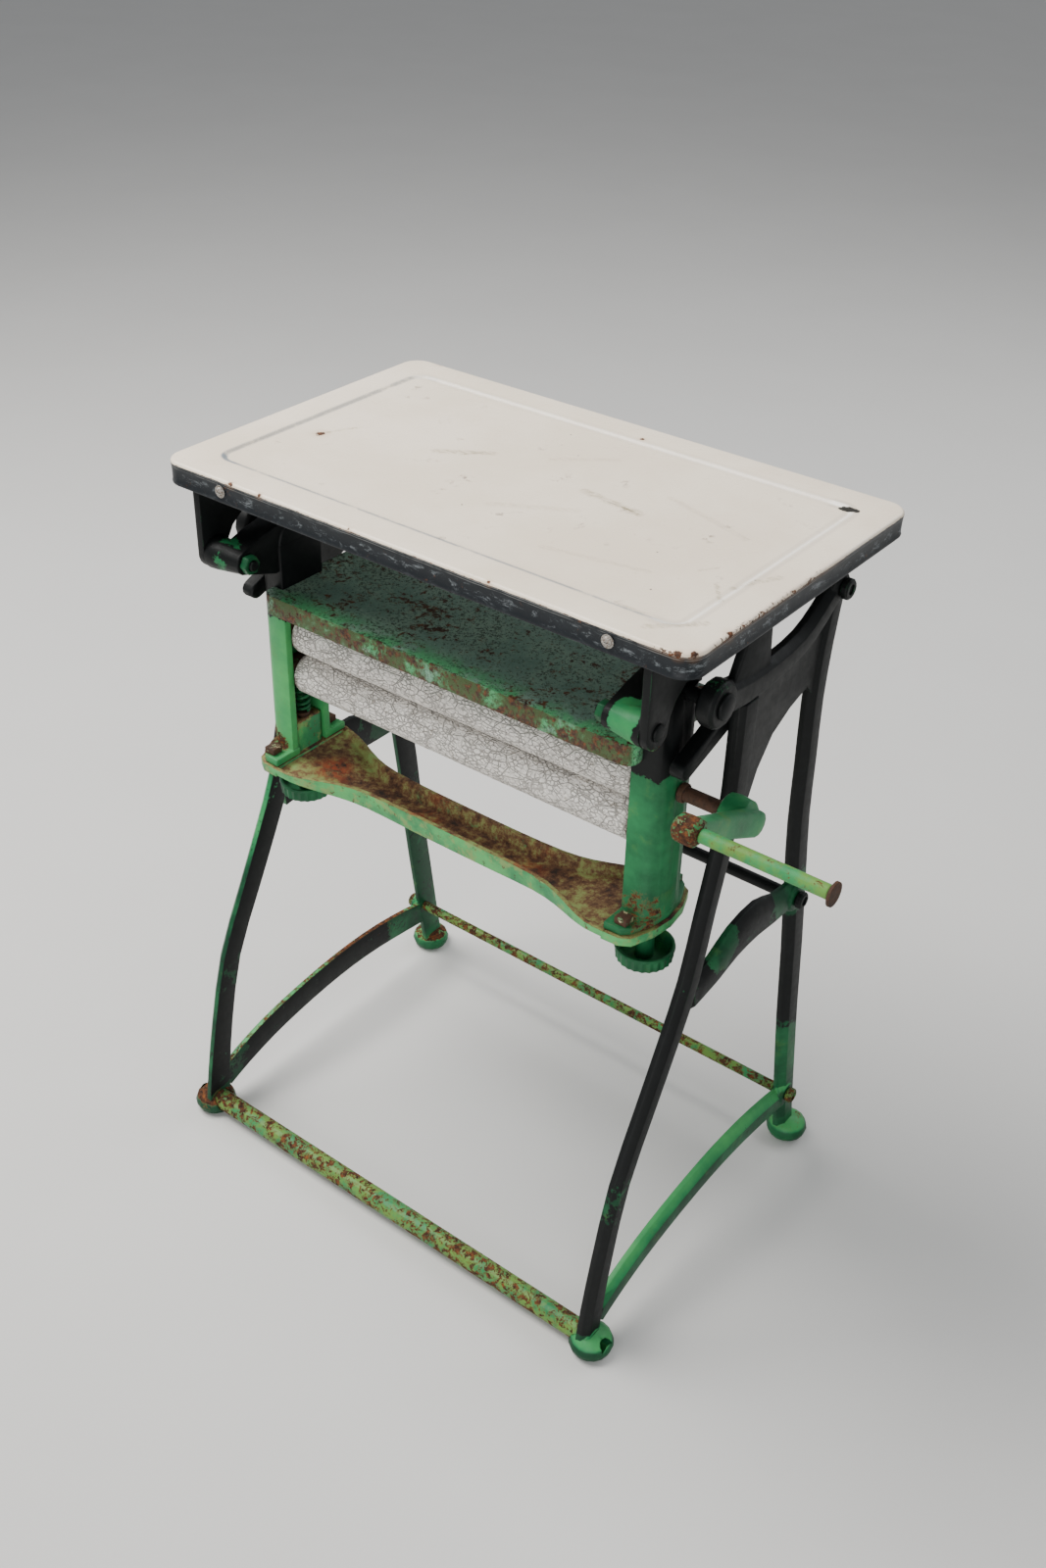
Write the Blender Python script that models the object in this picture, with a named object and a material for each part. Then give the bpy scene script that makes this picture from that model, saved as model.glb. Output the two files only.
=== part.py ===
"""Enamel-topped kitchen table with a clothes wringer that hangs upside down under it.

Metres, +Z up, -Y is the front, +X is the crank side. The wringer swings forward and up about two
pins in the end frames. Two bolts carry the front of the table on the wringer, so the table moves
back as the wringer comes up.
"""

import math

import bmesh
import bpy
from mathutils import Matrix, Vector

# Driving dimensions
TABLE_WIDTH = 0.610
TABLE_DEPTH = 0.373
TABLE_HEIGHT = 0.814
RIM_DEPTH = 0.025
SHEET = 0.0018
TABLE_CORNER = 0.022
STEP_INSET = 0.038
STEP_DROP = 0.0014

GAP = 0.0004
WRINGER_Y = -0.095
SWING_Z = 0.722
CARRY_Y = -0.167
DRIVEN_Z = 0.619
ROLLER_RADIUS = 0.0236
ROLLER_SPACING = 0.0478
ROLLER_HALF = 0.2126
SHAFT_RADIUS = 0.0072
SPRUNG_Z = DRIVEN_Z - ROLLER_SPACING

POST_IN = 0.2145
POST_WEB = 0.2360
POST_OUT = 0.2500
POST_HALF_DEPTH = 0.0285
POST_FLANGE = 0.0080
FOOT_TOP = 0.4850
BAR_TOP = 0.4766
BAR_END_BOTTOM = 0.4666
TRAY_TOP = 0.677

FRAME_IN = 0.2710
FRAME_THICK = 0.0130
ROD_NECK = 0.0050
BRACKET_IN = 0.2585
BRACKET_OUT = 0.2665

SCREW_X = 0.2260
SCREW_BOSS_BOTTOM = 0.4600
WHEEL_RADIUS = 0.0300
WHEEL_BOTTOM = 0.4140
WHEEL_HEIGHT = 0.018

ARM_X = 0.3180
ARM_THICK = 0.0150
ARM_LENGTH = 0.1195
ARM_ANGLE = math.radians(25.3)
GRIP_RADIUS = 0.0065
GRIP_END = 0.4560
CAP_THICK = 0.0040

FOOT_X = 0.2800
FRONT_FOOT_Y = -0.226
REAR_FOOT_Y = 0.172

# (name, y, z, radius) of the four cross members
FRONT_TUBE = (-0.2270, 0.0160, 0.0118)
REAR_ROD = (0.150, 0.081, 0.0062)
MIDDLE_ROD = (0.1020, 0.3970, 0.0066)
TOP_ROD = (0.1060, 0.7560, 0.0088)

# The model's origin is the middle of its own bounding box, on the floor.
X_MIDDLE = (GRIP_END + CAP_THICK - TABLE_WIDTH / 2) / 2
Y_FRONT = FRONT_FOOT_Y - 0.024
Y_MIDDLE = (Y_FRONT + REAR_FOOT_Y + 0.024) / 2

GREEN = (0.075, 0.36, 0.17, 1)
BLACK = (0.012, 0.014, 0.013, 1)
ENAMEL = (0.78, 0.74, 0.67, 1)
RUST = (0.16, 0.062, 0.022, 1)
RUBBER = (0.60, 0.57, 0.53, 1)
STEEL = (0.30, 0.26, 0.22, 1)


# Scene helpers


def clear_scene():
    for obj in list(bpy.data.objects):
        bpy.data.objects.remove(obj, do_unlink=True)


def material(name, colour, roughness, metallic):
    made = bpy.data.materials.new(name)
    made.use_nodes = True
    shader = made.node_tree.nodes["Principled BSDF"]
    shader.inputs["Base Color"].default_value = colour
    shader.inputs["Roughness"].default_value = roughness
    shader.inputs["Metallic"].default_value = metallic
    made.diffuse_color = colour
    return made


def axis_empty(name, parent, place):
    """An empty on a joint's axis. Its children are modelled about that point."""
    empty = bpy.data.objects.new(name, None)
    bpy.context.collection.objects.link(empty)
    empty["place"] = place
    empty.location = place
    if parent:
        empty.parent = parent
        empty.location = Vector(place) - Vector(parent["place"])
    return empty


def put(name, mesh, look, holder, smooth=40):
    """Names a mesh, gives it its own material and hangs it on its empty."""
    obj = bpy.data.objects.new(name, mesh)
    bpy.context.collection.objects.link(obj)
    mesh.transform(Matrix.Translation(-Vector(holder["place"])))
    obj.parent = holder
    colour, roughness, metallic = look
    mesh.materials.clear()
    mesh.materials.append(material(name, colour, roughness, metallic))
    mesh.shade_smooth()
    mesh.set_sharp_from_angle(angle=math.radians(smooth))
    return obj


# Mesh helpers


def to_mesh(bm):
    bmesh.ops.recalc_face_normals(bm, faces=bm.faces)
    mesh = bpy.data.meshes.new("solid")
    bm.to_mesh(mesh)
    bm.free()
    return mesh


def loft(loops, closed=False):
    """A solid through loops that hold the same number of points."""
    bm = bmesh.new()
    rings = [[bm.verts.new(p) for p in loop] for loop in loops]
    count = len(rings[0])
    pairs = list(zip(rings, rings[1:]))
    if closed:
        pairs.append((rings[-1], rings[0]))
    for low, high in pairs:
        for i in range(count):
            j = (i + 1) % count
            bm.faces.new((low[i], low[j], high[j], high[i]))
    if not closed:
        bm.faces.new(rings[0])
        bm.faces.new(rings[-1])
    return to_mesh(bm)


def prism(outline, axis, low, high, bevel=0.0):
    """Extrudes a 2-D outline along X, Y or Z. The outline holds the other two coordinates."""

    def place(p, depth):
        coords = list(p)
        coords.insert("xyz".index(axis), depth)
        return coords

    bm = bmesh.new()
    rings = [[bm.verts.new(place(p, depth)) for p in outline] for depth in (low, high)]
    bm.faces.new(rings[0])
    bm.faces.new(rings[1])
    for i in range(len(outline)):
        j = (i + 1) % len(outline)
        bm.faces.new((rings[0][i], rings[0][j], rings[1][j], rings[1][i]))
    bmesh.ops.recalc_face_normals(bm, faces=bm.faces)
    if bevel:
        flat = set(rings[0]) | set(rings[1])
        edges = [
            e for e in bm.edges
            if (e.verts[0] in flat and e.calc_face_angle(0) > math.radians(50))
        ]
        bmesh.ops.bevel(bm, geom=edges, offset=bevel, segments=2, profile=0.5, affect="EDGES")
    return to_mesh(bm)


def box(low, high, bevel=0.0):
    outline = [(low[0], low[1]), (high[0], low[1]), (high[0], high[1]), (low[0], high[1])]
    return prism(outline, "z", low[2], high[2], bevel)


def lathe(profile, axis, centre, sides=24):
    """Turns (radius, distance) pairs about an axis through centre. A radius of 0 closes an end."""
    index = "xyz".index(axis)
    bm = bmesh.new()
    rings = []
    for radius, along in profile:
        ring = []
        for i in range(sides if radius > 0 else 1):
            turn = 2 * math.pi * i / sides
            coords = [radius * math.cos(turn), radius * math.sin(turn)]
            coords.insert(index, along)
            ring.append(bm.verts.new(Vector(coords) + Vector(centre)))
        rings.append(ring)
    for low, high in zip(rings, rings[1:]):
        for i in range(sides):
            j = (i + 1) % sides
            corners = [low[i % len(low)], low[j % len(low)], high[j % len(high)], high[i % len(high)]]
            bm.faces.new(list(dict.fromkeys(corners)))
    for ring in (rings[0], rings[-1]):
        if len(ring) > 1:
            bm.faces.new(ring)
    return to_mesh(bm)


def cylinder(axis, centre, low, high, radius, sides=24, edge=0.0):
    if edge:
        profile = [(radius - edge, low), (radius, low + edge), (radius, high - edge), (radius - edge, high)]
    else:
        profile = [(radius, low), (radius, high)]
    return lathe(profile, axis, centre, sides)


def hexagon(axis, centre, low, high, across_flats, edge=0.0006):
    radius = across_flats / math.sqrt(3)
    return cylinder(axis, centre, low, high, radius, 6, edge)


def combined(operation, base, *others):
    """Boolean of meshes, with the exact solver."""
    holder = bpy.data.objects.new("base", base)
    bpy.context.collection.objects.link(holder)
    helpers = []
    for other in others:
        helper = bpy.data.objects.new("other", other)
        bpy.context.collection.objects.link(helper)
        helpers.append(helper)
        step = holder.modifiers.new("step", "BOOLEAN")
        step.operation = operation
        step.solver = "EXACT"
        step.object = helper
    graph = bpy.context.evaluated_depsgraph_get()
    result = bpy.data.meshes.new_from_object(holder.evaluated_get(graph))
    for used in helpers + [holder]:
        bpy.data.objects.remove(used, do_unlink=True)
    return result


def union(base, *others):
    return combined("UNION", base, *others)


def cut(base, *others):
    return combined("DIFFERENCE", base, *others)


def mirrored(mesh):
    """The left-hand copy of a right-hand mesh."""
    copy = mesh.copy()
    copy.transform(Matrix.Scale(-1, 4, Vector((1, 0, 0))))
    copy.flip_normals()
    return copy


def smooth_path(points, steps):
    """Catmull-Rom samples through points of any dimension."""
    ends = [points[0]] + list(points) + [points[-1]]
    found = []
    for a, b, c, d in zip(ends, ends[1:], ends[2:], ends[3:]):
        for step in range(steps):
            t = step / steps
            found.append(
                tuple(
                    0.5 * (2 * q + (r - p) * t + (2 * p - 5 * q + 4 * r - s) * t**2
                           + (3 * q - p - 3 * r + s) * t**3)
                    for p, q, r, s in zip(a, b, c, d)
                )
            )
    return found + [tuple(points[-1])]


def cast_bar(points, inner, thick, steps=2):
    """A half-round bar of a casting: flat inside, crowned outside. points are (y, z, width)."""
    path = smooth_path(points, steps)
    section = [(-0.5, 0), (0.5, 0), (0.5, 0.45), (0.27, 0.96), (-0.27, 0.96), (-0.5, 0.45)]
    loops = []
    for i, (y, z, width) in enumerate(path):
        before = path[max(i - 1, 0)]
        after = path[min(i + 1, len(path) - 1)]
        along = Vector((after[0] - before[0], after[1] - before[1])).normalized()
        across = Vector((-along.y, along.x))
        loops.append(
            [(inner + x * thick, y + across.x * s * width, z + across.y * s * width) for s, x in section]
        )
    return loft(loops)


def arc(centre, radius, start, end, count):
    """Points on a circle from start to end, in degrees."""
    turns = [math.radians(start + (end - start) * i / (count - 1)) for i in range(count)]
    return [(centre[0] + radius * math.cos(t), centre[1] + radius * math.sin(t)) for t in turns]


def rounded_rectangle(low, high, radius, count=6):
    corners = [
        ((high[0] - radius, high[1] - radius), 0),
        ((low[0] + radius, high[1] - radius), 90),
        ((low[0] + radius, low[1] + radius), 180),
        ((high[0] - radius, low[1] + radius), 270),
    ]
    return [p for centre, start in corners for p in arc(centre, radius, start, start + 90, count)]


# Stand


FRONT_LEG = [
    (-0.040, 0.700, 0.036), (-0.041, 0.640, 0.034), (-0.046, 0.590, 0.028), (-0.057, 0.540, 0.026),
    (-0.073, 0.482, 0.026), (-0.091, 0.410, 0.028), (-0.118, 0.349, 0.028), (-0.150, 0.285, 0.027),
    (-0.187, 0.209, 0.026), (-0.209, 0.124, 0.027), (-0.2210, 0.060, 0.030), (-0.2265, 0.018, 0.032),
]
REAR_LEG = [
    (0.106, 0.757, 0.026), (0.096, 0.700, 0.030), (0.092, 0.640, 0.028), (0.095, 0.570, 0.028),
    (0.098, 0.500, 0.029), (0.109, 0.420, 0.031), (0.124, 0.320, 0.031), (0.136, 0.220, 0.031),
    (0.148, 0.140, 0.031), (0.159, 0.070, 0.030), (0.168, 0.018, 0.029),
]
ARCH = [
    (WRINGER_Y, SWING_Z, 0.036), (-0.050, 0.714, 0.034), (0.000, 0.714, 0.030),
    (0.045, 0.720, 0.028), (0.078, 0.736, 0.026), (0.106, 0.757, 0.024),
]
RAIL = [
    (-0.214, 0.037, 0.030), (-0.181, 0.052, 0.033), (-0.136, 0.066, 0.034), (-0.090, 0.075, 0.034),
    (-0.040, 0.0815, 0.034), (0.010, 0.0845, 0.034), (0.060, 0.083, 0.034), (0.110, 0.077, 0.033), (0.152, 0.070, 0.030),
]
BRACE = [
    (-0.088, 0.386, 0.036), (-0.048, 0.393, 0.040), (-0.014, 0.404, 0.048), (0.026, 0.407, 0.050),
    (0.062, 0.400, 0.038), (0.104, 0.398, 0.034),
]
WEB = [
    (-0.056, 0.640), (-0.058, 0.705), (-0.020, 0.716), (0.040, 0.716), (0.085, 0.735), (0.092, 0.640),
    (0.070, 0.664), (0.040, 0.655), (0.012, 0.640), (-0.010, 0.612), (-0.026, 0.575), (-0.045, 0.580),
]


def end_frame():
    """One cast end frame, right hand: two legs, arch, web, brace, bottom rail, feet and bosses."""
    bosses = [
        (WRINGER_Y, SWING_Z, 0.0225, -0.0025, 0.0155),
        (TOP_ROD[0], TOP_ROD[1], 0.0150, 0.0006, 0.0140),
        (MIDDLE_ROD[0], MIDDLE_ROD[1], 0.0165, 0.0004, 0.0145),
        (REAR_ROD[0], REAR_ROD[1], 0.0150, 0.0003, 0.0140),
        (FRONT_TUBE[0], FRONT_TUBE[1], 0.0150, 0.0005, 0.0135),
    ]
    solids = [
        cast_bar(FRONT_LEG, FRAME_IN, FRAME_THICK),
        cast_bar(REAR_LEG, FRAME_IN + 0.0001, FRAME_THICK),
        cast_bar(ARCH, FRAME_IN + 0.0002, FRAME_THICK + 0.0010),
        cast_bar(RAIL, FRAME_IN + 0.0003, FRAME_THICK - 0.0010),
        cast_bar(BRACE, FRAME_IN + 0.0004, FRAME_THICK - 0.0005),
        prism(WEB, "x", FRAME_IN + 0.0005, FRAME_IN + 0.0085),
        prism(rest_lug_outline(), "x", FRAME_IN + 0.0006, FRAME_IN + 0.0098, 0.0015),
    ]
    for y, z, radius, low, high in bosses:
        solids.append(cylinder("x", (0, y, z), FRAME_IN + low, FRAME_IN + high, radius, 14, 0.003))
    for y in (FRONT_FOOT_Y, REAR_FOOT_Y):
        solids.append(foot_bun(y))
    casting = union(solids[0], *solids[1:])
    holes = [
        cylinder("x", (0, y, z), FRAME_IN - 0.01, FRAME_IN + 0.03, neck + GAP, 12)
        for y, z, neck in (
            (WRINGER_Y, SWING_Z, 0.0070),
            (TOP_ROD[0], TOP_ROD[1], ROD_NECK),
            (MIDDLE_ROD[0], MIDDLE_ROD[1], ROD_NECK),
            (REAR_ROD[0], REAR_ROD[1], ROD_NECK),
            (FRONT_TUBE[0], FRONT_TUBE[1], 0.0080),
        )
    ]
    y, z, radius = FRONT_TUBE
    holes.append(cylinder("x", (0, y, z), 0.24, FRAME_IN - 0.0004, radius + 0.0006, 20))
    return cut(casting, *holes)


def rest_lug_outline():
    """The pad on the arch that the table's bracket comes down beside."""
    return [(-0.076, 0.722), (-0.062, 0.750), (-0.050, 0.774), (-0.042, 0.7855), (-0.020, 0.7855), (-0.014, 0.768),
            (-0.010, 0.718)]


def foot_bun(y):
    profile = [(0.0170, 0.0), (0.0215, 0.0035), (0.0240, 0.0110), (0.0215, 0.0185), (0.0140, 0.0245), (0, 0.0260)]
    return lathe(profile, "z", (FOOT_X, y, 0), 16)


def cross_member(y, z, radius, neck, reach):
    """A rod between the frames with a thinner end through each of them."""
    edge = FRAME_IN - 0.0030 if radius < 0.008 else FRAME_IN - 0.0010
    profile = [(neck, -reach), (neck, -edge), (radius, -edge), (radius, edge), (neck, edge), (neck, reach)]
    return lathe(profile, "x", (0, y, z), 14)


def rod_nut(y, z, neck, radius, low, thick):
    blank = cylinder("x", (0, y, z), low, low + thick, radius, 14, 0.0016)
    return cut(blank, cylinder("x", (0, y, z), low - 0.01, low + thick + 0.01, neck + GAP, 12))


def build_stand(stand):
    black = (BLACK, 0.35, 0.0)
    green = (GREEN, 0.45, 0.0)
    frame = end_frame()
    put("left_end_frame", mirrored(frame), black, stand)
    put("right_end_frame", frame, black, stand)
    tube_neck = 0.0080
    put("front_bottom_tube", cross_member(*FRONT_TUBE, tube_neck, FRAME_IN + 0.0165), green, stand)
    nuts = [("rear_bottom", REAR_ROD, 0.0090), ("middle", MIDDLE_ROD, 0.0095), ("top_rear", TOP_ROD, 0.0105)]
    for name, (y, z, radius), nut_radius in nuts:
        face = FRAME_IN + (0.0145 if name == "middle" else 0.0140) + 0.0003
        look = green if name == "rear_bottom" else black
        put(name + "_rod", cross_member(y, z, radius, ROD_NECK, face + 0.0062), look, stand)
        nut = rod_nut(y, z, ROD_NECK, nut_radius, face, 0.0080)
        put("left_" + name + "_nut", mirrored(nut), look, stand)
        put("right_" + name + "_nut", nut, look, stand)
    arm = stop_arm()
    put("left_stop_arm", mirrored(arm), black, stand)
    put("right_stop_arm", arm, black, stand)
    pin = swing_pin()
    put("left_swing_pin", mirrored(pin), black, stand)
    put("right_swing_pin", pin, black, stand)


def stop_arm():
    """The short arm on the frame that the post hangs beside. Its stub is riveted through the web."""
    top = (-0.050, 0.686)
    end = (-0.119, 0.660)
    lean = math.degrees(math.atan2(end[1] - top[1], end[0] - top[0]))
    outline = arc(top, 0.0105, lean + 270, lean + 90, 7)[::-1] + arc(end, 0.0085, lean + 90, lean - 90, 7)[::-1]
    return prism(hull_of(outline), "x", POST_OUT + 0.0055, FRAME_IN - 0.0004, 0.0012)


def hull_of(points):
    """The outline of two round ends and the straight sides between them."""
    middle = Vector((sum(p[0] for p in points) / len(points), sum(p[1] for p in points) / len(points)))
    return sorted(points, key=lambda p: math.atan2(p[1] - middle.y, p[0] - middle.x))


def swing_pin():
    """The pin in the frame's boss that the post turns on, with its head outside."""
    low = POST_WEB - 0.0050
    head = FRAME_IN + 0.0155 + 0.0003
    profile = [
        (0.0055, low), (0.0068, low + 0.0012), (0.0068, head), (0.0125, head), (0.0125, head + 0.0024),
        (0.0090, head + 0.0044), (0, head + 0.0050),
    ]
    return lathe(profile, "x", (0, WRINGER_Y, SWING_Z), 18)


# Table


def enamel_pan():
    """Pressed sheet with a turned-down rim, a rolled edge and a shallow step inside the border."""
    half = Vector((TABLE_WIDTH / 2, TABLE_DEPTH / 2))

    def ring(inset, z):
        radius = max(TABLE_CORNER - inset, 0.006) if inset < STEP_INSET - 0.01 else 0.016
        outline = rounded_rectangle((-half.x + inset, -half.y + inset), (half.x - inset, half.y - inset), radius)
        return [(x, y, z) for x, y in outline]

    top = TABLE_HEIGHT
    loops = [
        ring(0.0006, top - RIM_DEPTH), ring(0.0006, top - 0.0052), ring(0.0000, top - 0.0044),
        ring(0.0002, top - 0.0024), ring(0.0012, top - 0.0008), ring(0.0030, top),
        ring(STEP_INSET, top), ring(STEP_INSET + 0.0030, top - STEP_DROP),
        ring(STEP_INSET + 0.0030, top - STEP_DROP - SHEET), ring(STEP_INSET - 0.0010, top - SHEET),
        ring(0.0040, top - SHEET), ring(0.0006 + SHEET, top - 0.0052), ring(0.0006 + SHEET, top - RIM_DEPTH),
    ]
    bm = bmesh.new()
    rings = [[bm.verts.new(p) for p in loop] for loop in loops]
    middle = 7
    for k, (low, high) in enumerate(zip(rings, rings[1:] + rings[:1])):
        if k == middle:
            continue
        for i in range(len(low)):
            j = (i + 1) % len(low)
            bm.faces.new((low[i], low[j], high[j], high[i]))
    bm.faces.new(rings[middle])
    bm.faces.new(rings[middle + 1])
    return to_mesh(bm)


RIM_SCREW_X = 0.224
RIM_SCREW_Z = TABLE_HEIGHT - 0.0125


def table_bracket():
    """Right-hand bracket: an ear for the carry bolt, a runner under the sheet, and a rear saddle."""
    ceiling = TABLE_HEIGHT - SHEET - STEP_DROP - GAP
    runner = TABLE_HEIGHT - RIM_DEPTH - 0.006
    front = -TABLE_DEPTH / 2 + 0.0032
    saddle = TOP_ROD[0]
    outline = (
        [(front, ceiling), (front, 0.722)]
        + arc((CARRY_Y, SWING_Z), 0.0165, 190, 330, 8)
        + [(-0.1500, 0.7300), (-0.1430, 0.7420), (-0.1300, 0.7520), (-0.1050, 0.7600), (-0.0850, 0.7720), (-0.0750, runner)]
        + [(saddle - 0.0230, runner), (saddle - 0.0200, 0.7500), (saddle - 0.0105, 0.7470)]
        + [(saddle - 0.0105, 0.7560)] + arc((saddle, 0.7570), 0.0105, 180, 0, 7)
        + [(saddle + 0.0105, 0.7470), (saddle + 0.0200, 0.7500), (saddle + 0.0230, runner), (0.150, runner), (0.158, ceiling)]
    )
    plate = prism(outline, "x", BRACKET_IN, BRACKET_OUT)
    pivot = (0, CARRY_Y, SWING_Z)
    tab = box((RIM_SCREW_X - 0.012, front + 0.0002, 0.7900), (BRACKET_IN + 0.001, front + 0.0062, 0.8060))
    casting = union(plate, tab)
    pivot_hole = cylinder("x", pivot, 0.20, 0.28, 0.0052 + GAP, 16)
    screw_hole = cylinder("y", (RIM_SCREW_X, 0, RIM_SCREW_Z), front - 0.01, front + 0.02, 0.0024 + GAP, 12)
    return cut(casting, pivot_hole, screw_hole)


def rim_screw():
    """Slotted round-head screw through the rim, with its washer."""
    face = -TABLE_DEPTH / 2 + 0.0006 - 0.0003
    head = [(0.0024, face + 0.012), (0.0024, face), (0.0062, face), (0.0062, face - 0.0009), (0.0048, face - 0.0010),
            (0.0046, face - 0.0020), (0.0030, face - 0.0032), (0, face - 0.0037)]
    screw = lathe(head, "y", (RIM_SCREW_X, 0, RIM_SCREW_Z), 16)
    slot = box((RIM_SCREW_X - 0.008, face - 0.006, RIM_SCREW_Z - 0.0005),
               (RIM_SCREW_X + 0.008, face - 0.0024, RIM_SCREW_Z + 0.0005))
    return cut(screw, slot)


def build_table(table):
    pan = enamel_pan()
    hole = cylinder("y", (RIM_SCREW_X, 0, RIM_SCREW_Z), -0.20, -0.17, 0.0024 + GAP, 12)
    other = cylinder("y", (-RIM_SCREW_X, 0, RIM_SCREW_Z), -0.20, -0.17, 0.0024 + GAP, 12)
    put("enamel_table_top", cut(pan, hole, other), (ENAMEL, 0.25, 0.0), table, 30)
    bracket = table_bracket()
    put("left_table_bracket", mirrored(bracket), (BLACK, 0.4, 0.0), table)
    put("right_table_bracket", bracket, (BLACK, 0.4, 0.0), table)
    screw = rim_screw()
    put("left_rim_screw", mirrored(screw), (STEEL, 0.5, 0.6), table)
    put("right_rim_screw", screw, (STEEL, 0.5, 0.6), table)


# Wringer frame


def post():
    """Right-hand post: a channel open towards the rollers, crowned outside, with a bolted foot."""
    y0 = WRINGER_Y - POST_HALF_DEPTH
    y1 = WRINGER_Y + POST_HALF_DEPTH
    outer = [
        (POST_IN, y0), (0.2360, y0), (0.2435, y0 + 0.0040), (0.2480, y0 + 0.0110), (POST_OUT, y0 + 0.0200),
        (POST_OUT, y1 - 0.0200), (0.2480, y1 - 0.0110), (0.2435, y1 - 0.0040), (0.2360, y1), (POST_IN, y1),
    ]
    shaft = prism(outer, "z", FOOT_TOP - 0.004, SWING_Z + 0.002)
    crown = prism(
        arc((WRINGER_Y, SWING_Z), POST_HALF_DEPTH - 0.0003, -4, 184, 12), "x", POST_IN + 0.0002, POST_OUT - 0.0040, 0.0012
    )
    foot = prism(foot_outline(0.0030), "z", BAR_TOP + GAP, FOOT_TOP, 0.0012)
    pivot = (0, CARRY_Y, SWING_Z)
    boss = lathe([(0.0172, BRACKET_IN - 0.0005), (0.0165, 0.2490), (0.0120, CARRY_TIP)], "x", pivot, 20)
    arm = prism(
        arc((CARRY_Y, SWING_Z), 0.0125, 100, 265, 7)
        + [(-0.128, 0.6960), (-0.094, 0.7000), (-0.092, 0.7460), (-0.116, 0.7480), (-0.145, 0.7420)],
        "x", CARRY_TIP + 0.0004, 0.2440,
    )
    body = union(shaft, crown, foot, boss, arm)
    channel = box(
        (POST_IN - 0.02, y0 + POST_FLANGE, BAR_TOP - 0.01), (POST_WEB, y1 - POST_FLANGE, DRIVEN_Z + 0.0165)
    )
    bolt_holes = [
        cylinder("z", (BOLT_X, y, 0), BAR_TOP - 0.02, FOOT_TOP + 0.02, 0.0036 + GAP, 12) for y in BOLT_Y
    ]
    shaft_hole = cylinder("x", (0, WRINGER_Y, DRIVEN_Z), POST_WEB - 0.005, 0.30, SHAFT_RADIUS + GAP, 20)
    swing_hole = cylinder("x", (0, WRINGER_Y, SWING_Z), POST_WEB - 0.006, 0.30, 0.0068 + GAP, 18)
    carry_hole = cylinder("x", pivot, 0.20, 0.27, 0.0052 + GAP, 16)
    return cut(body, channel, shaft_hole, swing_hole, carry_hole, *bolt_holes)


def foot_outline(inset):
    """The post's foot on the bar, and the bar's own end, with its corners rounded outwards."""
    return [
        (0.2125, -0.1530 + inset), (0.2310, -0.1520 + inset), (0.2420 - inset, -0.1450 + inset),
        (0.2510 - inset, -0.1200), (0.2540 - inset, -0.0970), (0.2510 - inset, -0.0720),
        (0.2420 - inset, -0.0490 - inset), (0.2310, -0.0430 - inset), (0.2125, -0.0420 - inset),
    ]


BOLT_X = 0.2280
BOLT_Y = (-0.1390, -0.0560)
CARRY_TIP = 0.2165


def tray():
    """Water tray, stowed bottom up: a sheet with a turned lip, notched round the posts."""
    x0, x1 = 0.2135, 0.2260
    front, back = -0.1420, -0.0080
    y0 = WRINGER_Y - POST_HALF_DEPTH - GAP
    y1 = WRINGER_Y + POST_HALF_DEPTH + GAP
    radius = 0.012

    def outline(inset):
        right = (
            arc((x1 - radius, front + radius), radius - inset, -90, 0, 6)
            + [(x1 - inset, y0 - inset), (x0 - inset, y0 - inset), (x0 - inset, y1 + inset), (x1 - inset, y1 + inset)]
            + arc((x1 - radius, back - radius), radius - inset, 0, 90, 6)
        )
        return right + [(-x, y) for x, y in reversed(right)]

    outer = prism(outline(0), "z", TRAY_TOP - 0.0210, TRAY_TOP)
    inner = prism(outline(0.0030), "z", TRAY_TOP - 0.0300, TRAY_TOP - 0.0030)
    ends = [
        box((side * 0.2118 - 0.006, y0 - 0.001, TRAY_TOP - 0.03), (side * 0.2118 + 0.006, y1 + 0.001, TRAY_TOP - 0.0031))
        for side in (-1, 1)
    ]
    bosses = [box((side * 0.2100 - 0.0030, -0.118, TRAY_TOP - 0.0160), (side * 0.2100 + 0.0030, -0.072, TRAY_TOP - 0.002))
              for side in (-1, 1)]
    return union(cut(outer, inner, *ends), *bosses)


# (x, front y, back y, underside z, trough floor z) of half the cross bar
BAR_STATIONS = [
    (0.000, -0.1250, -0.0775, 0.4526, 0.4590), (0.055, -0.1252, -0.0772, 0.4530, 0.4594),
    (0.110, -0.1264, -0.0748, 0.4546, 0.4612), (0.142, -0.1335, -0.0680, 0.4572, 0.4640),
    (0.170, -0.1450, -0.0560, 0.4612, 0.4680), (0.193, -0.1530, -0.0470, 0.4650, 0.4716),
    (0.2150, -0.1536, -0.0414, 0.4660, 0.4736),
]


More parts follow.
